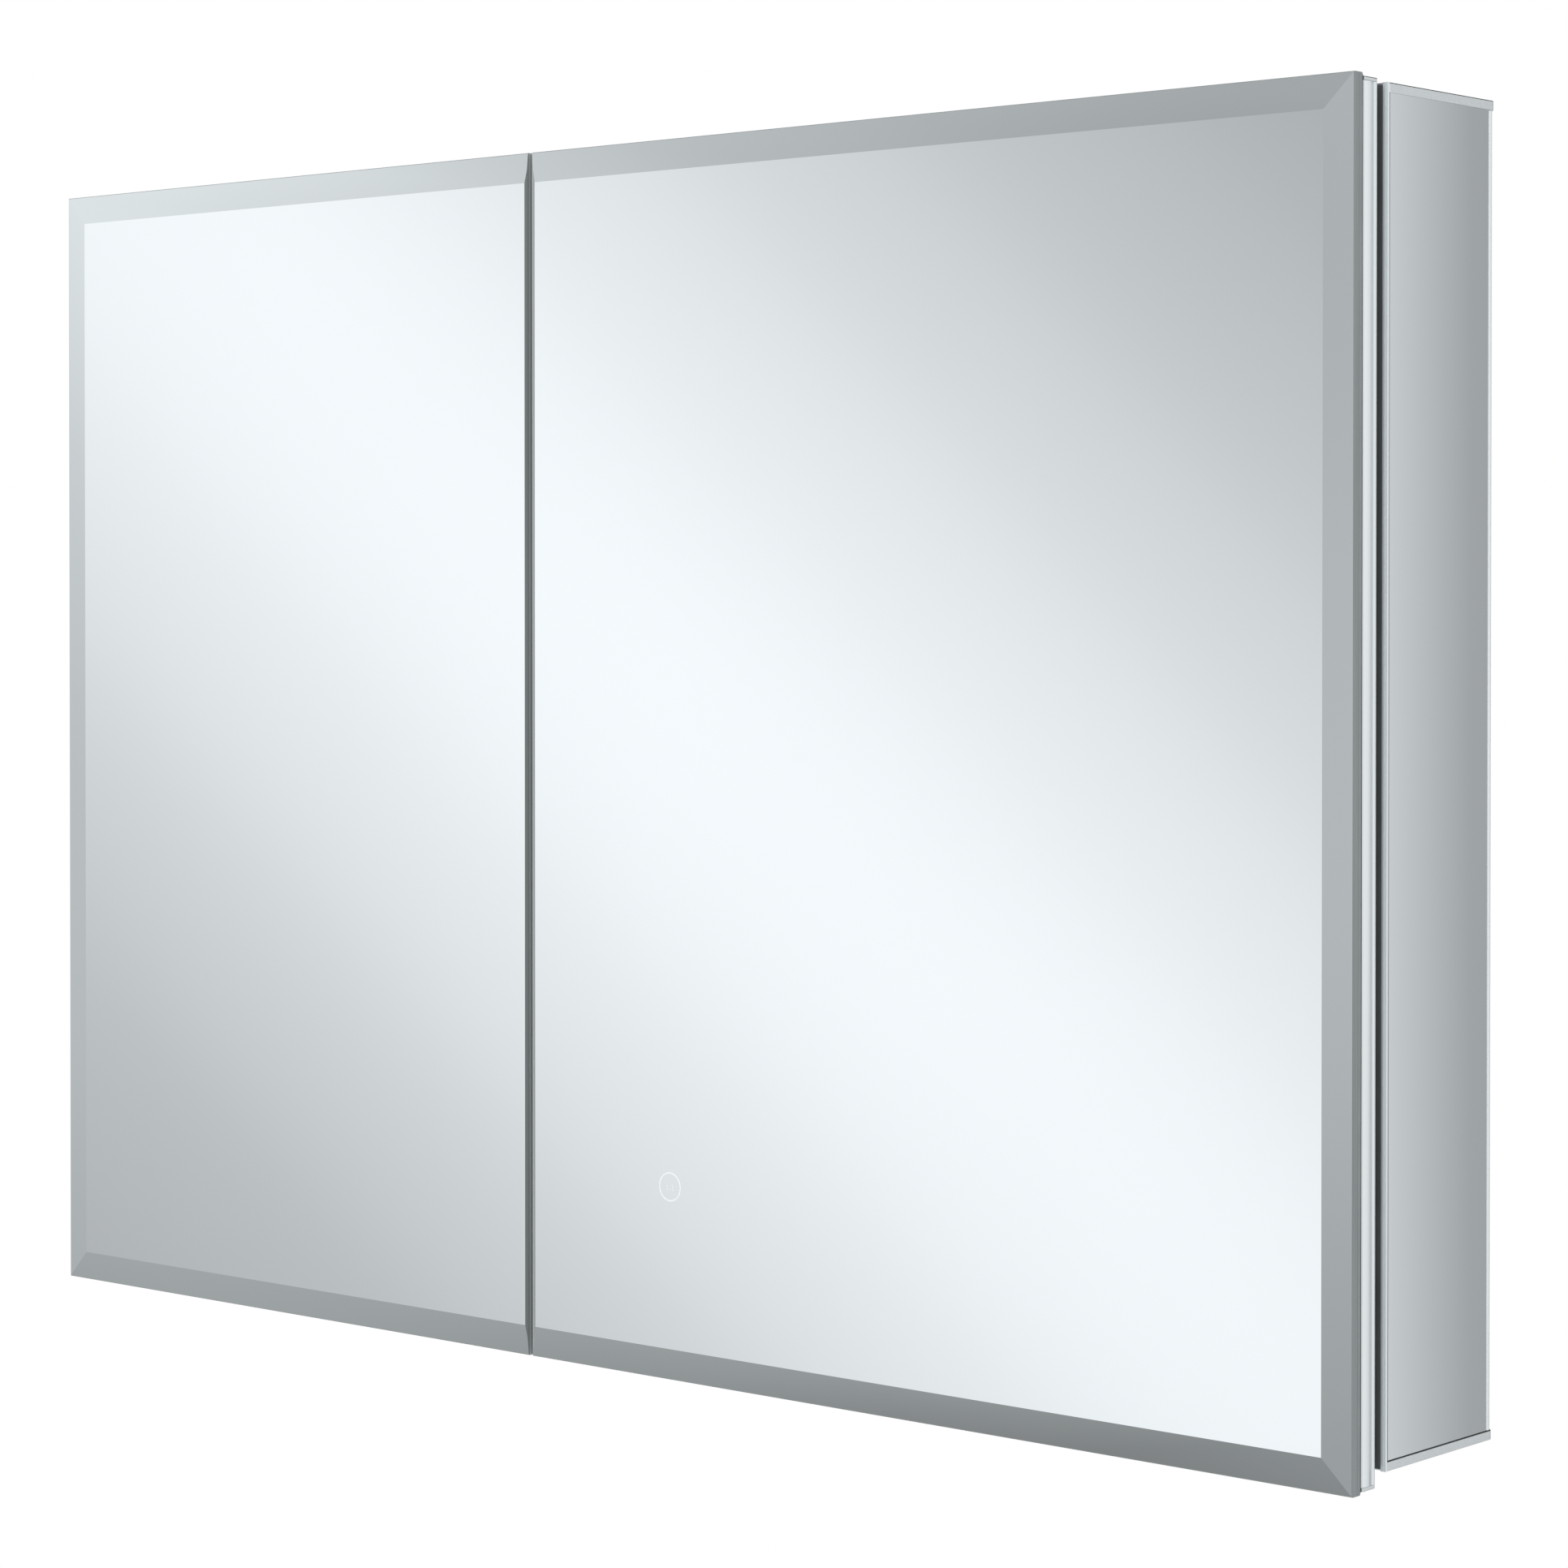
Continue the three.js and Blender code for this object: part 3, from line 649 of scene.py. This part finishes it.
def frame_section():
    """Section of the frame's extrusion as (in from its outer face, depth): a softly bulged outer
    face, a fine groove, and a rounded bead at the rear."""
    deep = FRAME_BACK - FRAME_FRONT
    bulge = [(1.1, 0.0), (0.7, 0.4), (0.45, 1.3), (0.25, 2.8), (0.08, 4.6), (0.0, 6.4), (0.06, 7.7)]
    bulge.append((0.3, 8.8))
    groove = [(1.4, 8.95), (1.4, 9.3)]
    bead = [(0.6, 9.4), (0.3, 9.8), (0.1, 10.6), (0.0, deep - 0.8), (0.1, deep - 0.25), (0.5, deep)]
    inner = [(STILE - 0.5, deep), (STILE, deep - 0.5), (STILE, 0.5), (STILE - 0.5, 0.0)]
    return [(a, FRAME_FRONT + b) for a, b in bulge + groove + bead + inner]


def hinge_height(name, level):
    lo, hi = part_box(f"hinge_pin_{name}_{level}")
    return (lo.z + hi.z) / 2


def stile(node, hinged):
    """An upright of the door frame between the rails' outer plates, with pockets for the hinges."""
    lo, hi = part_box(node)
    name = node.rsplit("_", 1)[1]
    outer, meeting, inward = door_edges(name)
    edge, way = (outer, inward) if hinged else (meeting, -inward)
    section = [(edge + way * a * MM, y_at(b)) for a, b in frame_section()]
    growth = STILE_GROWTH * MM
    mesh = to_mesh(swept(section, lo.z - growth, hi.z + growth, "z"), node)
    if hinged:
        pockets = []
        for level in LEVELS:
            z = hinge_height(name, level)
            x = sorted(edge + way * a * MM for a in POCKET_INSETS)
            pockets.append(block_bm(
                (x[0], y_at(FRAME_FRONT + POCKET_WEB), z - POCKET_REACH * MM),
                (x[1], y_at(FRAME_BACK + 1), z + POCKET_REACH * MM),
            ))
        mesh = carved(mesh, pockets)
    stand_in(node, "extrusion", mesh, [FRAME_Z])


for door in SIDES:
    stile(f"hinge_stile_{door}", True)
    stile(f"meeting_stile_{door}", False)
    for end in ("top", "bottom"):
        refined(f"{end}_rail_{door}", FRAME_X, 0.5, 3, end == "top")
    mirror_pane(f"rear_mirror_{door}", (0, 1, 0), SILVER)


# ---- hinges ----
HEAD_RIM = 0.35  # share of a screw head's height that its straight rim takes


def screw_mesh(radius, head):
    """A pan-head screw's head, standing on Z = 0, with a cross recess."""
    angles = [math.radians(d) for d in (8, 25, 45, 65)]
    dome = [(radius * math.cos(a), head * (HEAD_RIM + (1 - HEAD_RIM) * math.sin(a))) for a in angles]
    bm = lathe_bm([(0, 0), (radius, 0), *dome, (0, head)], 28)
    slot_half, reach, floor = radius * 0.13, radius * 0.6, head * 0.45
    cross = [
        block_bm((-reach, -slot_half, floor), (reach, slot_half, head * 2)),
        block_bm((-slot_half, -reach, floor), (slot_half, reach, head * 2)),
    ]
    return carved(to_mesh(bm, "screw"), cross)


SCREW = screw_mesh(2.6 * MM, 1.6 * MM)
SMALL_SCREW = screw_mesh(1.7 * MM, 1.0 * MM)


def turned_to(direction, place, spin):
    """A matrix that stands a piece built along Z on a place, pointing along direction, and spins it
    about that direction."""
    turn = Vector(direction).to_track_quat("Z", "Y").to_matrix().to_4x4()
    return Matrix.Translation(place) @ turn @ Matrix.Rotation(spin, 4, "Z")


def screws(name, mesh, spots, body):
    """One piece that holds several screw heads, each given by its place and the way it faces. Their
    recesses stand at different angles, as a person would leave them."""
    first, step = 0.3, 0.9
    parts = [(mesh, turned_to(way, place, first + step * i)) for i, (place, way) in enumerate(spots)]
    return show(name, joined(parts, name), body, [SCREW_STEEL])


PIN_CHAMFER = 0.35
ARM_EYE = 2.8
ARM_THICKNESS = 2.5
ARM_BEND = 3.0
ARM_INNER_BEND = 0.6
ARM_EDGE = 0.25
PIN_CLEARANCE = 0.15
ARM_SCREW_FACE = 21.1  # inset of the arm's face under its screws
ARM_SCREWS = (52, 60, 75)  # behind the pin: two adjusting screws and the fixing screw
BRACKET_SCREW_FACE = 3.4
BRACKET_SCREWS = (3.2, 4.5)  # behind the pin, and above and below it


def hinge_pin(tail):
    node = f"hinge_pin_{tail}"
    lo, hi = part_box(node)
    radius = (hi.x - lo.x) / 2
    half = (hi.z - lo.z) / 2
    chamfer = PIN_CHAMFER * MM
    upper = [(radius, half - chamfer), (radius - chamfer, half), (0, half)]
    lower = [(r, -h) for r, h in reversed(upper)]
    mesh = placed(to_mesh(lathe_bm(lower + upper, 32), "pin"), Matrix.Translation((lo + hi) / 2))
    stand_in(node, "turned", mesh, [STEEL])
    return (lo + hi) / 2, radius


def hinge_arm(tail, side, pin, pin_radius):
    """The arm leaves its eye towards the middle of the door and bends back to its base."""
    node = f"hinge_arm_{tail}"
    lo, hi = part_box(node)
    eye, thick = ARM_EYE * MM, ARM_THICKNESS * MM
    bend, inner_bend = ARM_BEND * MM, ARM_INNER_BEND * MM
    reach = abs((lo.x if side > 0 else hi.x) - pin.x)
    back = hi.y - pin.y
    lean = math.degrees(math.asin(thick / 2 / eye))
    plan = arc((0, 0), eye, lean, 360 - lean, 28)
    plan += arc((reach - bend, -thick / 2 + bend), bend, -90, 0, 6)
    plan += [(reach, back), (reach - thick, back)]
    plan += arc((reach - thick - inner_bend, thick / 2 + inner_bend), inner_bend, 0, -90, 3)
    bore = circle((0, 0), pin_radius + PIN_CLEARANCE * MM)
    loops = [[(pin.x - side * a, pin.y + b) for a, b in loop] for loop in (plan, bore)]
    arm = outline_mesh("arm", loops, hi.z - lo.z, ARM_EDGE * MM)
    placed(arm, Matrix.Translation((0, 0, lo.z)))
    stand_in(node, "formed", arm, [STEEL])


def hinge(name, level):
    side = SIDES[name]
    tail = f"{name}_{level}"
    pin, pin_radius = hinge_pin(tail)
    refined(f"hinge_bracket_{tail}", STEEL, 0.2)
    hinge_arm(tail, side, pin, pin_radius)
    refined(f"hinge_base_{tail}", STEEL, 1.2, 3)

    def spot(inset, behind, above):
        return (x_at(side, inset), pin.y + behind * MM, pin.z + above * MM), (-side, 0, 0)

    spots = [spot(ARM_SCREW_FACE, behind, 0) for behind in ARM_SCREWS]
    screws(f"hinge_arm_screws_{tail}", SCREW, spots, body_of(f"hinge_arm_{tail}"))
    behind, apart = BRACKET_SCREWS
    spots = [spot(BRACKET_SCREW_FACE, behind, above) for above in (-apart, apart)]
    screws(f"hinge_bracket_screws_{tail}", SMALL_SCREW, spots, body_of(f"hinge_bracket_{tail}"))


for door in SIDES:
    for level in LEVELS:
        hinge(door, level)

# ---- cabinet box ----
PLATE_FRONT_CORNER = 0.6
PLATE_REAR_CORNER = 4.0
PLATE_EDGE = 0.7
PLATE_UNDER_EDGE = 0.25
BEAD_ROUND = 1.4
WALL_EDGE = 0.4
PAINTED_LIGHT_REACH = 1.3  # how far in from a side wall's outer face its paler finish of painted light reaches
SIDE_PANE_GROWTH = 0.27  # closes the clearance between a side mirror and the end plates


def end_plate(node):
    """Top or bottom panel, with rounded rear corners, softened edges and a painted dark reflection
    along its upper edges.
    """
    lo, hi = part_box(node)
    corners = (PLATE_FRONT_CORNER * MM, 3), (PLATE_REAR_CORNER * MM, 8)
    plan = rounded_box((lo.x, lo.y), (hi.x, hi.y), *corners)
    bm = bmesh.new()
    bm.from_mesh(outline_mesh(node, [plan], hi.z - lo.z))
    bmesh.ops.translate(bm, vec=(0, 0, lo.z), verts=bm.verts)
    flat = math.radians(0.5)
    bmesh.ops.dissolve_limit(bm, angle_limit=flat, verts=bm.verts, edges=bm.edges)

    def at_height(z):
        return lambda edge: all(abs(v.co.z - z) < NEAR for v in edge.verts)

    round_edges(bm, PLATE_EDGE, 4, 60, at_height(hi.z))
    round_edges(bm, PLATE_UNDER_EDGE, 2, 60, at_height(lo.z))
    paint_dark_upper_edge(bm, (lo.z + hi.z) / 2)
    stand_in(node, "plate", to_mesh(bm, node), [BODY_X, PAINTED_DARK_EDGE])


def side_wall(name):
    """The side wall's extrusion, with its rear lip rounded to a bead and a painted dark reflection
    along its upper edges. Its lip and bead, which frame the side mirror, have a paler finish that is
    painted light."""
    node = f"side_wall_{name}"
    lo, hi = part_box(node)
    outer = hi.x if SIDES[name] > 0 else lo.x
    pane_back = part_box(f"side_mirror_{name}")[1].y
    bm = cad_copy(node)

    def on_bead(edge):
        a, b = (vert.co for vert in edge.verts)
        behind_pane = all(abs(v.x - outer) < NEAR and v.y > pane_back for v in (a, b))
        return behind_pane and abs(a.y - b.y) < NEAR

    round_edges(bm, BEAD_ROUND, 5, 30, on_bead)
    round_edges(bm, WALL_EDGE, 3, 40)
    paint_dark_upper_edge(bm, hi.z - 1.0 * MM)
    looks = [BODY_Z, PAINTED_DARK_EDGE, PAINTED_LIGHT_LIP_Z]
    for face in bm.faces:
        outside = abs(face.calc_center_median().x - outer) < PAINTED_LIGHT_REACH * MM
        if outside and face.material_index == looks.index(BODY_Z):
            face.material_index = looks.index(PAINTED_LIGHT_LIP_Z)
    stand_in(node, "extrusion", to_mesh(bm, node), looks)


for door, side in SIDES.items():
    side_wall(door)
    facing = (side, 0, 0)
    mirror_pane(f"side_mirror_{door}", facing, SIDE_SILVER, SIDE_PANE_GROWTH, True)
    mirror_pane(f"back_mirror_{door}", (0, -1, 0), SILVER)
end_plate("top_panel")
end_plate("bottom_panel")
refined("centre_divider", BODY_Z, 0.4, 3)
refined("door_seal", RUBBER, 0.35, 2)
refined("back_panel", BODY_X, 0.25, 1, ending="sheet")

# ---- bays ----
SHELF_CORNER = 2.0
SHELF_EDGE_ROUND = 1.2


def glass_shelf(node):
    """Tempered glass shelf with pencil-polished edges."""
    bm = block_bm(*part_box(node))
    softening = {"segments": 3, "profile": 0.5, "affect": "EDGES"}
    upright = [e for e in bm.edges if abs((e.verts[0].co - e.verts[1].co).normalized().z) > 0.9]
    bmesh.ops.bevel(bm, geom=upright, offset=SHELF_CORNER * MM, **softening)
    bm.normal_update()
    rim = [e for e in bm.edges if e.is_manifold and e.calc_face_angle(0) > math.radians(60)]
    bmesh.ops.bevel(bm, geom=rim, offset=SHELF_EDGE_ROUND * MM, **softening)
    bm.normal_update()
    for face in bm.faces:
        face.material_index = 0 if abs(face.normal.z) > 0.98 else 1
    stand_in(node, "polished", to_mesh(bm, node), [SHELF_GLASS, SHELF_EDGE])


for node in sorted(frame["nodes"]):
    if node.startswith("glass_shelf"):
        glass_shelf(node)
    elif node.startswith("shelf_comb"):
        refined(node, WHITE, 0.3, 2)

# ---- touch sensor, demister, power ----
RING_RADIUS = 9.0
RING_LINE = 0.9
WAVES = (-2.2, 0.0, 2.2)  # places of the three waves across the ring
WAVE_HALF = 2.2
WAVE_LINE = 0.35
WAVE_SWING = 0.45
WAVE_STEPS = 16
PRINT = 0.06


def wave(offset):
    """Outline of one upright wave of constant width, one period long."""
    line = [(offset + WAVE_SWING * math.sin(t * math.tau / WAVE_STEPS),
             -WAVE_HALF + 2 * WAVE_HALF * t / WAVE_STEPS) for t in range(WAVE_STEPS + 1)]
    left = [((a - WAVE_LINE / 2) * MM, b * MM) for a, b in line]
    right = [((a + WAVE_LINE / 2) * MM, b * MM) for a, b in reversed(line)]
    return left + right


def touch_mark():
    """The printed ring that shows where to touch, with three short waves inside it."""
    lo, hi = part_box("touch_sensor")
    centre = (lo + hi) / 2
    thick = PRINT * MM
    ring = [circle((0, 0), r * MM, 96) for r in (RING_RADIUS, RING_RADIUS - RING_LINE)]
    outlines = [ring] + [[wave(offset)] for offset in WAVES]
    parts = [(outline_mesh("mark", loops, thick), Matrix.Identity(4)) for loops in outlines]
    mesh = joined(parts, "touch_mark")
    placed(mesh, Matrix.Translation((centre.x, y_at(0) - thick / 2, centre.z)) @ ELEVATION)
    show("touch_mark", mesh, body_of("touch_sensor"), [FROST])


def facing_back(mesh, lo, hi):
    """Stands a mesh built along Z on the front of a box, with its axis running to +Y."""
    front = Matrix.Translation(((lo.x + hi.x) / 2, lo.y, (lo.z + hi.z) / 2))
    return placed(mesh, front @ Matrix.Rotation(-math.pi / 2, 4, "X"))


def touch_sensor():
    """A round module with a recess in its back."""
    node = "touch_sensor"
    lo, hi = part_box(node)
    radius, thick = (hi.x - lo.x) / 2, hi.y - lo.y
    step = 0.5 * MM
    profile = [(0, 0), (radius - step, 0), (radius, step), (radius, thick - step),
               (radius - step, thick), (radius * 0.6, thick), (radius * 0.55, thick - step),
               (0, thick - step)]
    mesh = facing_back(to_mesh(lathe_bm(profile, 48), "sensor"), lo, hi)
    stand_in(node, "module", mesh, [BLACK])


FILM_CORNER = 12.0
FILM = 0.4
TRACK_MARGIN = 15.0
TRACK_PITCH = 22.0
TRACK_HALF_WIDTH = 1.0
TRACK_DEPTH = (0.42, 0.6)  # from the film's front face


def demister():
    """Heating film with rounded corners and one long serpentine track."""
    node = "demister_pad"
    lo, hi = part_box(node)
    corner = (FILM_CORNER * MM, 6)
    film = outline_mesh("film", [rounded_box((lo.x, lo.z), (hi.x, hi.z), corner, corner)], FILM * MM)
    placed(film, Matrix.Translation((0, lo.y, 0)) @ ELEVATION)
    show("demister_film", film, body_of(node), [AMBER], [node])
    margin, pitch, half = (v * MM for v in (TRACK_MARGIN, TRACK_PITCH, TRACK_HALF_WIDTH))
    front, back = (lo.y + depth * MM for depth in TRACK_DEPTH)
    runs = int((hi.z - lo.z - 2 * margin) / pitch)
    left, right = lo.x + margin, hi.x - margin
    bm = bmesh.new()
    for i in range(runs + 1):
        z = lo.z + margin + i * pitch
        bars = [((left, z - half), (right, z + half))]
        if i < runs:
            x = right if i % 2 == 0 else left
            bars.append(((x - half, z - half), (x + half, z + pitch + half)))
        for (a, c), (b, d) in bars:
            part = to_mesh(block_bm((a, front, c), (b, back, d)), "bar")
            bm.from_mesh(part)
            bpy.data.meshes.remove(part)
    show("demister_track", to_mesh(bm, "track"), body_of(node), [COPPER])


GLAND_BORE = 4.0
GLAND_FLANGE = 11.0
GLAND_NECK = 7.5
GLAND_RIM = 2.5
GLAND_EDGE = 0.5


def cable_gland():
    """A flanged bush with a bore for the cable."""
    node = "cable_gland"
    lo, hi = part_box(node)
    length = hi.y - lo.y
    bore, flange, neck, rim = (v * MM for v in (GLAND_BORE, GLAND_FLANGE, GLAND_NECK, GLAND_RIM))
    soft = GLAND_EDGE * MM
    profile = [(bore, soft), (bore + soft, 0), (flange - soft, 0), (flange, soft),
               (flange, rim - soft), (flange - soft, rim), (neck, rim), (neck, length - soft),
               (neck - soft, length), (bore, length)]
    mesh = facing_back(to_mesh(lathe_bm(profile, 48, ring=True), "gland"), lo, hi)
    stand_in(node, "bush", mesh, [BLACK])


LID_HEIGHT = 7.0
LID_INSET = 0.4
LID_SEAM = 0.3
LID_ROUND = 1.5
LID_SCREW_INSET = 7.0
LID_SCREW_SINK = 0.1


def power_box():
    """Lidded plastic box: a body, a shallow lid line and four lid screws underneath."""
    node = "power_supply_box"
    lo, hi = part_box(node)
    lid, inset, margin = LID_HEIGHT * MM, LID_INSET * MM, LID_SCREW_INSET * MM
    body = block_bm((lo.x, lo.y, lo.z + lid), hi)
    seam = lo.z + lid - LID_SEAM * MM
    cover = block_bm((lo.x + inset, lo.y + inset, lo.z), (hi.x - inset, hi.y - inset, seam))
    parts = []
    for shell in (body, cover):
        round_edges(shell, LID_ROUND, 3)
        parts.append((to_mesh(shell, "shell"), Matrix.Identity(4)))
    show("power_supply_case", joined(parts, "case"), body_of(node), [WHITE], [node])
    under = lo.z + LID_SCREW_SINK * MM
    spots = [((x, y, under), (0, 0, -1)) for x in (lo.x + margin, hi.x - margin)
             for y in (lo.y + margin, hi.y - margin)]
    screws("power_supply_screws", SMALL_SCREW, spots, body_of(node))


touch_mark()
touch_sensor()
demister()
cable_gland()
power_box()

# ---------------------------------------------------------------- camera, lights and floor
CAMERA_PLACE = Vector((1.6939, -1.9559, 0.1037))
CAMERA_DIRECTION = Vector((-0.65221, 0.75795, -0.01168))
CAMERA_LENS = 91.9
CAMERA_SHIFT = (0.0023, -0.0930)


def make_camera():
    data = bpy.data.cameras.new("camera")
    data.sensor_width = 36
    data.lens = CAMERA_LENS
    data.shift_x, data.shift_y = CAMERA_SHIFT
    data.clip_start = 0.05
    camera = bpy.data.objects.new("camera", data)
    camera.location = CAMERA_PLACE
    camera.rotation_mode = "QUATERNION"
    camera.rotation_quaternion = CAMERA_DIRECTION.to_track_quat("-Z", "Y")
    SCENE.collection.objects.link(camera)
    SCENE.camera = camera


class Studio(NodeTree):
    """The studio round the cabinet, as brightness by direction. Azimuth turns from -Y towards -X and
    elevation is above the horizon, both in degrees. The camera itself sees plain white."""

    def __init__(self):
        world = SCENE.world or bpy.data.worlds.new("studio")
        SCENE.world = world
        world.use_nodes = True
        super().__init__(world.node_tree)
        self.tree.nodes.clear()

    def math(self, operation, *inputs):
        node = self.add("ShaderNodeMath", operation=operation)
        for socket, value in zip(node.inputs, inputs):
            if isinstance(value, (int, float)):
                socket.default_value = value
            else:
                self.link(value, socket)
        return node.outputs[0]

    def ramp(self, value, stops):
        """Brightness through (place, brightness) stops. A colour ramp ends at 1, so it holds shares
        of the brightest stop."""
        low, high = stops[0][0], stops[-1][0]
        spread = self.math("DIVIDE", self.math("SUBTRACT", value, low), high - low)
        node = self.add("ShaderNodeValToRGB")
        node.color_ramp.interpolation = "CARDINAL"
        elements = node.color_ramp.elements
        while len(elements) < len(stops):
            elements.new(0.5)
        for element, (place, level) in zip(elements, stops):
            element.position = (place - low) / (high - low)
        peak = max(level for place, level in stops)
        for element, (place, level) in zip(elements, stops):
            element.color = (level / peak, level / peak, level / peak, 1)
        self.link(spread, node.inputs["Fac"])
        return self.math("MULTIPLY", node.outputs["Color"], peak)

    def product(self, value, table, *others):
        """The brightness of a table at a value, times those of others, each a (value, table) pair."""
        result = self.ramp(value, table)
        for other, its_table in others:
            result = self.math("MULTIPLY", result, self.ramp(other, its_table))
        return result

    def blend(self, first, second, share):
        kept = self.math("MULTIPLY", first, self.math("SUBTRACT", 1, share))
        return self.math("ADD", kept, self.math("MULTIPLY", second, share))

    def build(self):
        direction = self.add("ShaderNodeSeparateXYZ")
        self.link(self.add("ShaderNodeTexCoord").outputs["Generated"], direction.inputs[0])
        x, y, z = (direction.outputs[i] for i in range(3))
        degrees = 180 / math.pi
        turn = self.math("ARCTAN2", self.math("MULTIPLY", x, -1), self.math("MULTIPLY", y, -1))
        azimuth = self.math("MULTIPLY", turn, degrees)
        elevation = self.math("MULTIPLY", self.math("ARCSINE", z), degrees)
        sloped = self.math("MULTIPLY", azimuth, BAND_SLOPE)
        across = self.math("SUBTRACT", self.math("ADD", elevation, BAND_PLACE), sloped)
        band = self.product(across, BAND, (elevation, BAND_HEIGHT), (azimuth, BAND_SIDE))
        front = self.product(elevation, FRONT_HEIGHT, (azimuth, FRONT_SIDE))
        rear = self.product(elevation, REAR_HEIGHT, (azimuth, REAR_SIDE))
        room = self.blend(front, rear, self.ramp(azimuth, REAR_SHARE))
        mixed = self.blend(room, band, self.product(azimuth, BAND_SHARE, (elevation, BAND_RISE)))
        tint = self.add("ShaderNodeVectorMath", operation="SCALE")
        tint.inputs[0].default_value = STUDIO_TINT
        self.link(mixed, tint.inputs["Scale"])
        seen = self.add("ShaderNodeBackground")
        seen.inputs["Color"].default_value = (1, 1, 1, 1)
        lit = self.add("ShaderNodeBackground")
        self.link(tint.outputs[0], lit.inputs["Color"])
        mix = self.add("ShaderNodeMixShader")
        self.link(self.add("ShaderNodeLightPath").outputs["Is Camera Ray"], mix.inputs[0])
        self.link(lit.outputs[0], mix.inputs[1])
        self.link(seen.outputs[0], mix.inputs[2])
        self.link(mix.outputs[0], self.add("ShaderNodeOutputWorld").inputs["Surface"])


STUDIO_TINT = (1.016, 1.027, 1.03)

# The soft band of light that crosses the doors rises by BAND_SLOPE degrees for each degree of
# azimuth. BAND is its profile across, in degrees of elevation from its bright middle line.
BAND_SLOPE = 1.08
BAND_PLACE = 47.4
BAND = [
    (-90, 0.7), (-60, 0.6), (-35, 0.37), (-24, 0.385), (-21.5, 0.433), (-16, 0.48), (-12, 0.58),
    (-8, 0.745), (-4, 0.905), (0, 0.985), (4, 0.915), (8, 0.78), (12, 0.635), (17, 0.5), (25, 0.4),
    (40, 0.55), (70, 0.8), (90, 0.8),
]
BAND_HEIGHT = [
    (-90, 0.5), (-26, 0.38), (-18, 0.34), (-17.1, 0.44), (-16.2, 0.63), (-15.3, 0.77), (-14, 0.89),
    (-12, 1.0), (7, 1.0), (9.3, 0.8), (9.8, 0.82), (10.4, 0.885), (11.4, 0.88), (12, 0.93),
    (12.8, 1.03), (20, 1.0), (38, 0.85), (48, 0.3), (90, 0.3),
]
BAND_SIDE = [(0, 1.0), (52, 1.0), (56, 1.14), (90, 1.16)]
BAND_SHARE = [(-180, 0.0), (27, 0.0), (31, 1.0), (75, 1.0), (110, 0.0), (180, 0.0)]
BAND_RISE = [(-90, 0.0), (-45, 0.0), (-32, 1.0), (35, 1.0), (60, 0.0), (90, 0.0)]
# The rest of the room in front of the cabinet is pale, with a dark ceiling and a pale floor.
FRONT_HEIGHT = [
    (-90, 0.66), (-42, 0.66), (-28, 0.45), (-20, 0.42), (-12, 0.5), (-8.5, 0.6), (-5, 0.68), (0, 0.68),
    (7, 0.65), (30, 0.85), (40, 0.7), (50, 0.2), (75, 0.16), (90, 0.3),
]
FRONT_SIDE = [(-180, 1.0), (-30, 1.0), (0, 1.0), (18, 0.9), (25.4, 0.72), (35, 0.8), (180, 1.0)]
# Behind it there is one soft edge of light, which the right side shows as a gradient.
REAR_SHARE = [(-180, 1.0), (-120, 1.0), (-90, 0.0), (90, 0.0), (120, 1.0), (180, 1.0)]
REAR_SIDE = [
    (-180, 0.4), (-165, 0.32), (-149.6, 0.32), (-149, 0.39), (-148.5, 0.52), (-147.9, 0.64),
    (-147, 0.68), (-144, 0.72), (-136, 0.86), (-100, 0.9), (100, 0.85), (140, 0.5), (180, 0.4),
]
REAR_HEIGHT = [
    (-90, 0.75), (-30, 0.8), (-15, 1.0), (30, 1.0), (40, 0.8), (50, 0.25), (75, 0.2), (90, 0.4),
]


LAMPS = {  # place, size and power
    "key": ((-1.6, -2.4, 1.8), 2.0, 45),
    "fill": ((2.4, -1.6, 0.6), 1.8, 22),
    "top": ((0.0, -0.6, 2.2), 2.2, 26),
}


def make_lights():
    """Large soft lamps for shape, aimed at the cabinet. Mirrors don't show them."""
    for name, (place, size, power) in LAMPS.items():
        data = bpy.data.lights.new(name, "AREA")
        data.size = size
        data.energy = power
        lamp = bpy.data.objects.new(name, data)
        lamp.location = place
        lamp.rotation_mode = "QUATERNION"
        lamp.rotation_quaternion = (-Vector(place)).to_track_quat("-Z", "Y")
        lamp.visible_camera = False
        lamp.visible_glossy = False
        lamp.visible_transmission = False
        SCENE.collection.objects.link(lamp)


FLOOR_HALF = 1.45
FLOOR_LEVEL = -1.25


def make_floor():
    bm = bmesh.new()
    bmesh.ops.create_grid(bm, x_segments=1, y_segments=1, size=FLOOR_HALF)
    bmesh.ops.translate(bm, vec=(0, 0, FLOOR_LEVEL), verts=bm.verts)
    mesh = to_mesh(bm, "floor")
    floor = bpy.data.objects.new("floor", mesh)
    SCENE.collection.objects.link(floor)
    surface = Surface("floor_paper")
    surface.colour(surface.noise(2, 2.0), (0.86, 0.86, 0.86), (0.9, 0.9, 0.9))
    surface.roughness(surface.noise(40, 2.0), 0.7, 0.85)
    mesh.materials.append(surface.material)


make_camera()
Studio().build()
make_lights()
make_floor()
SCENE.view_settings.view_transform = "Standard"
SCENE.view_settings.look = "None"
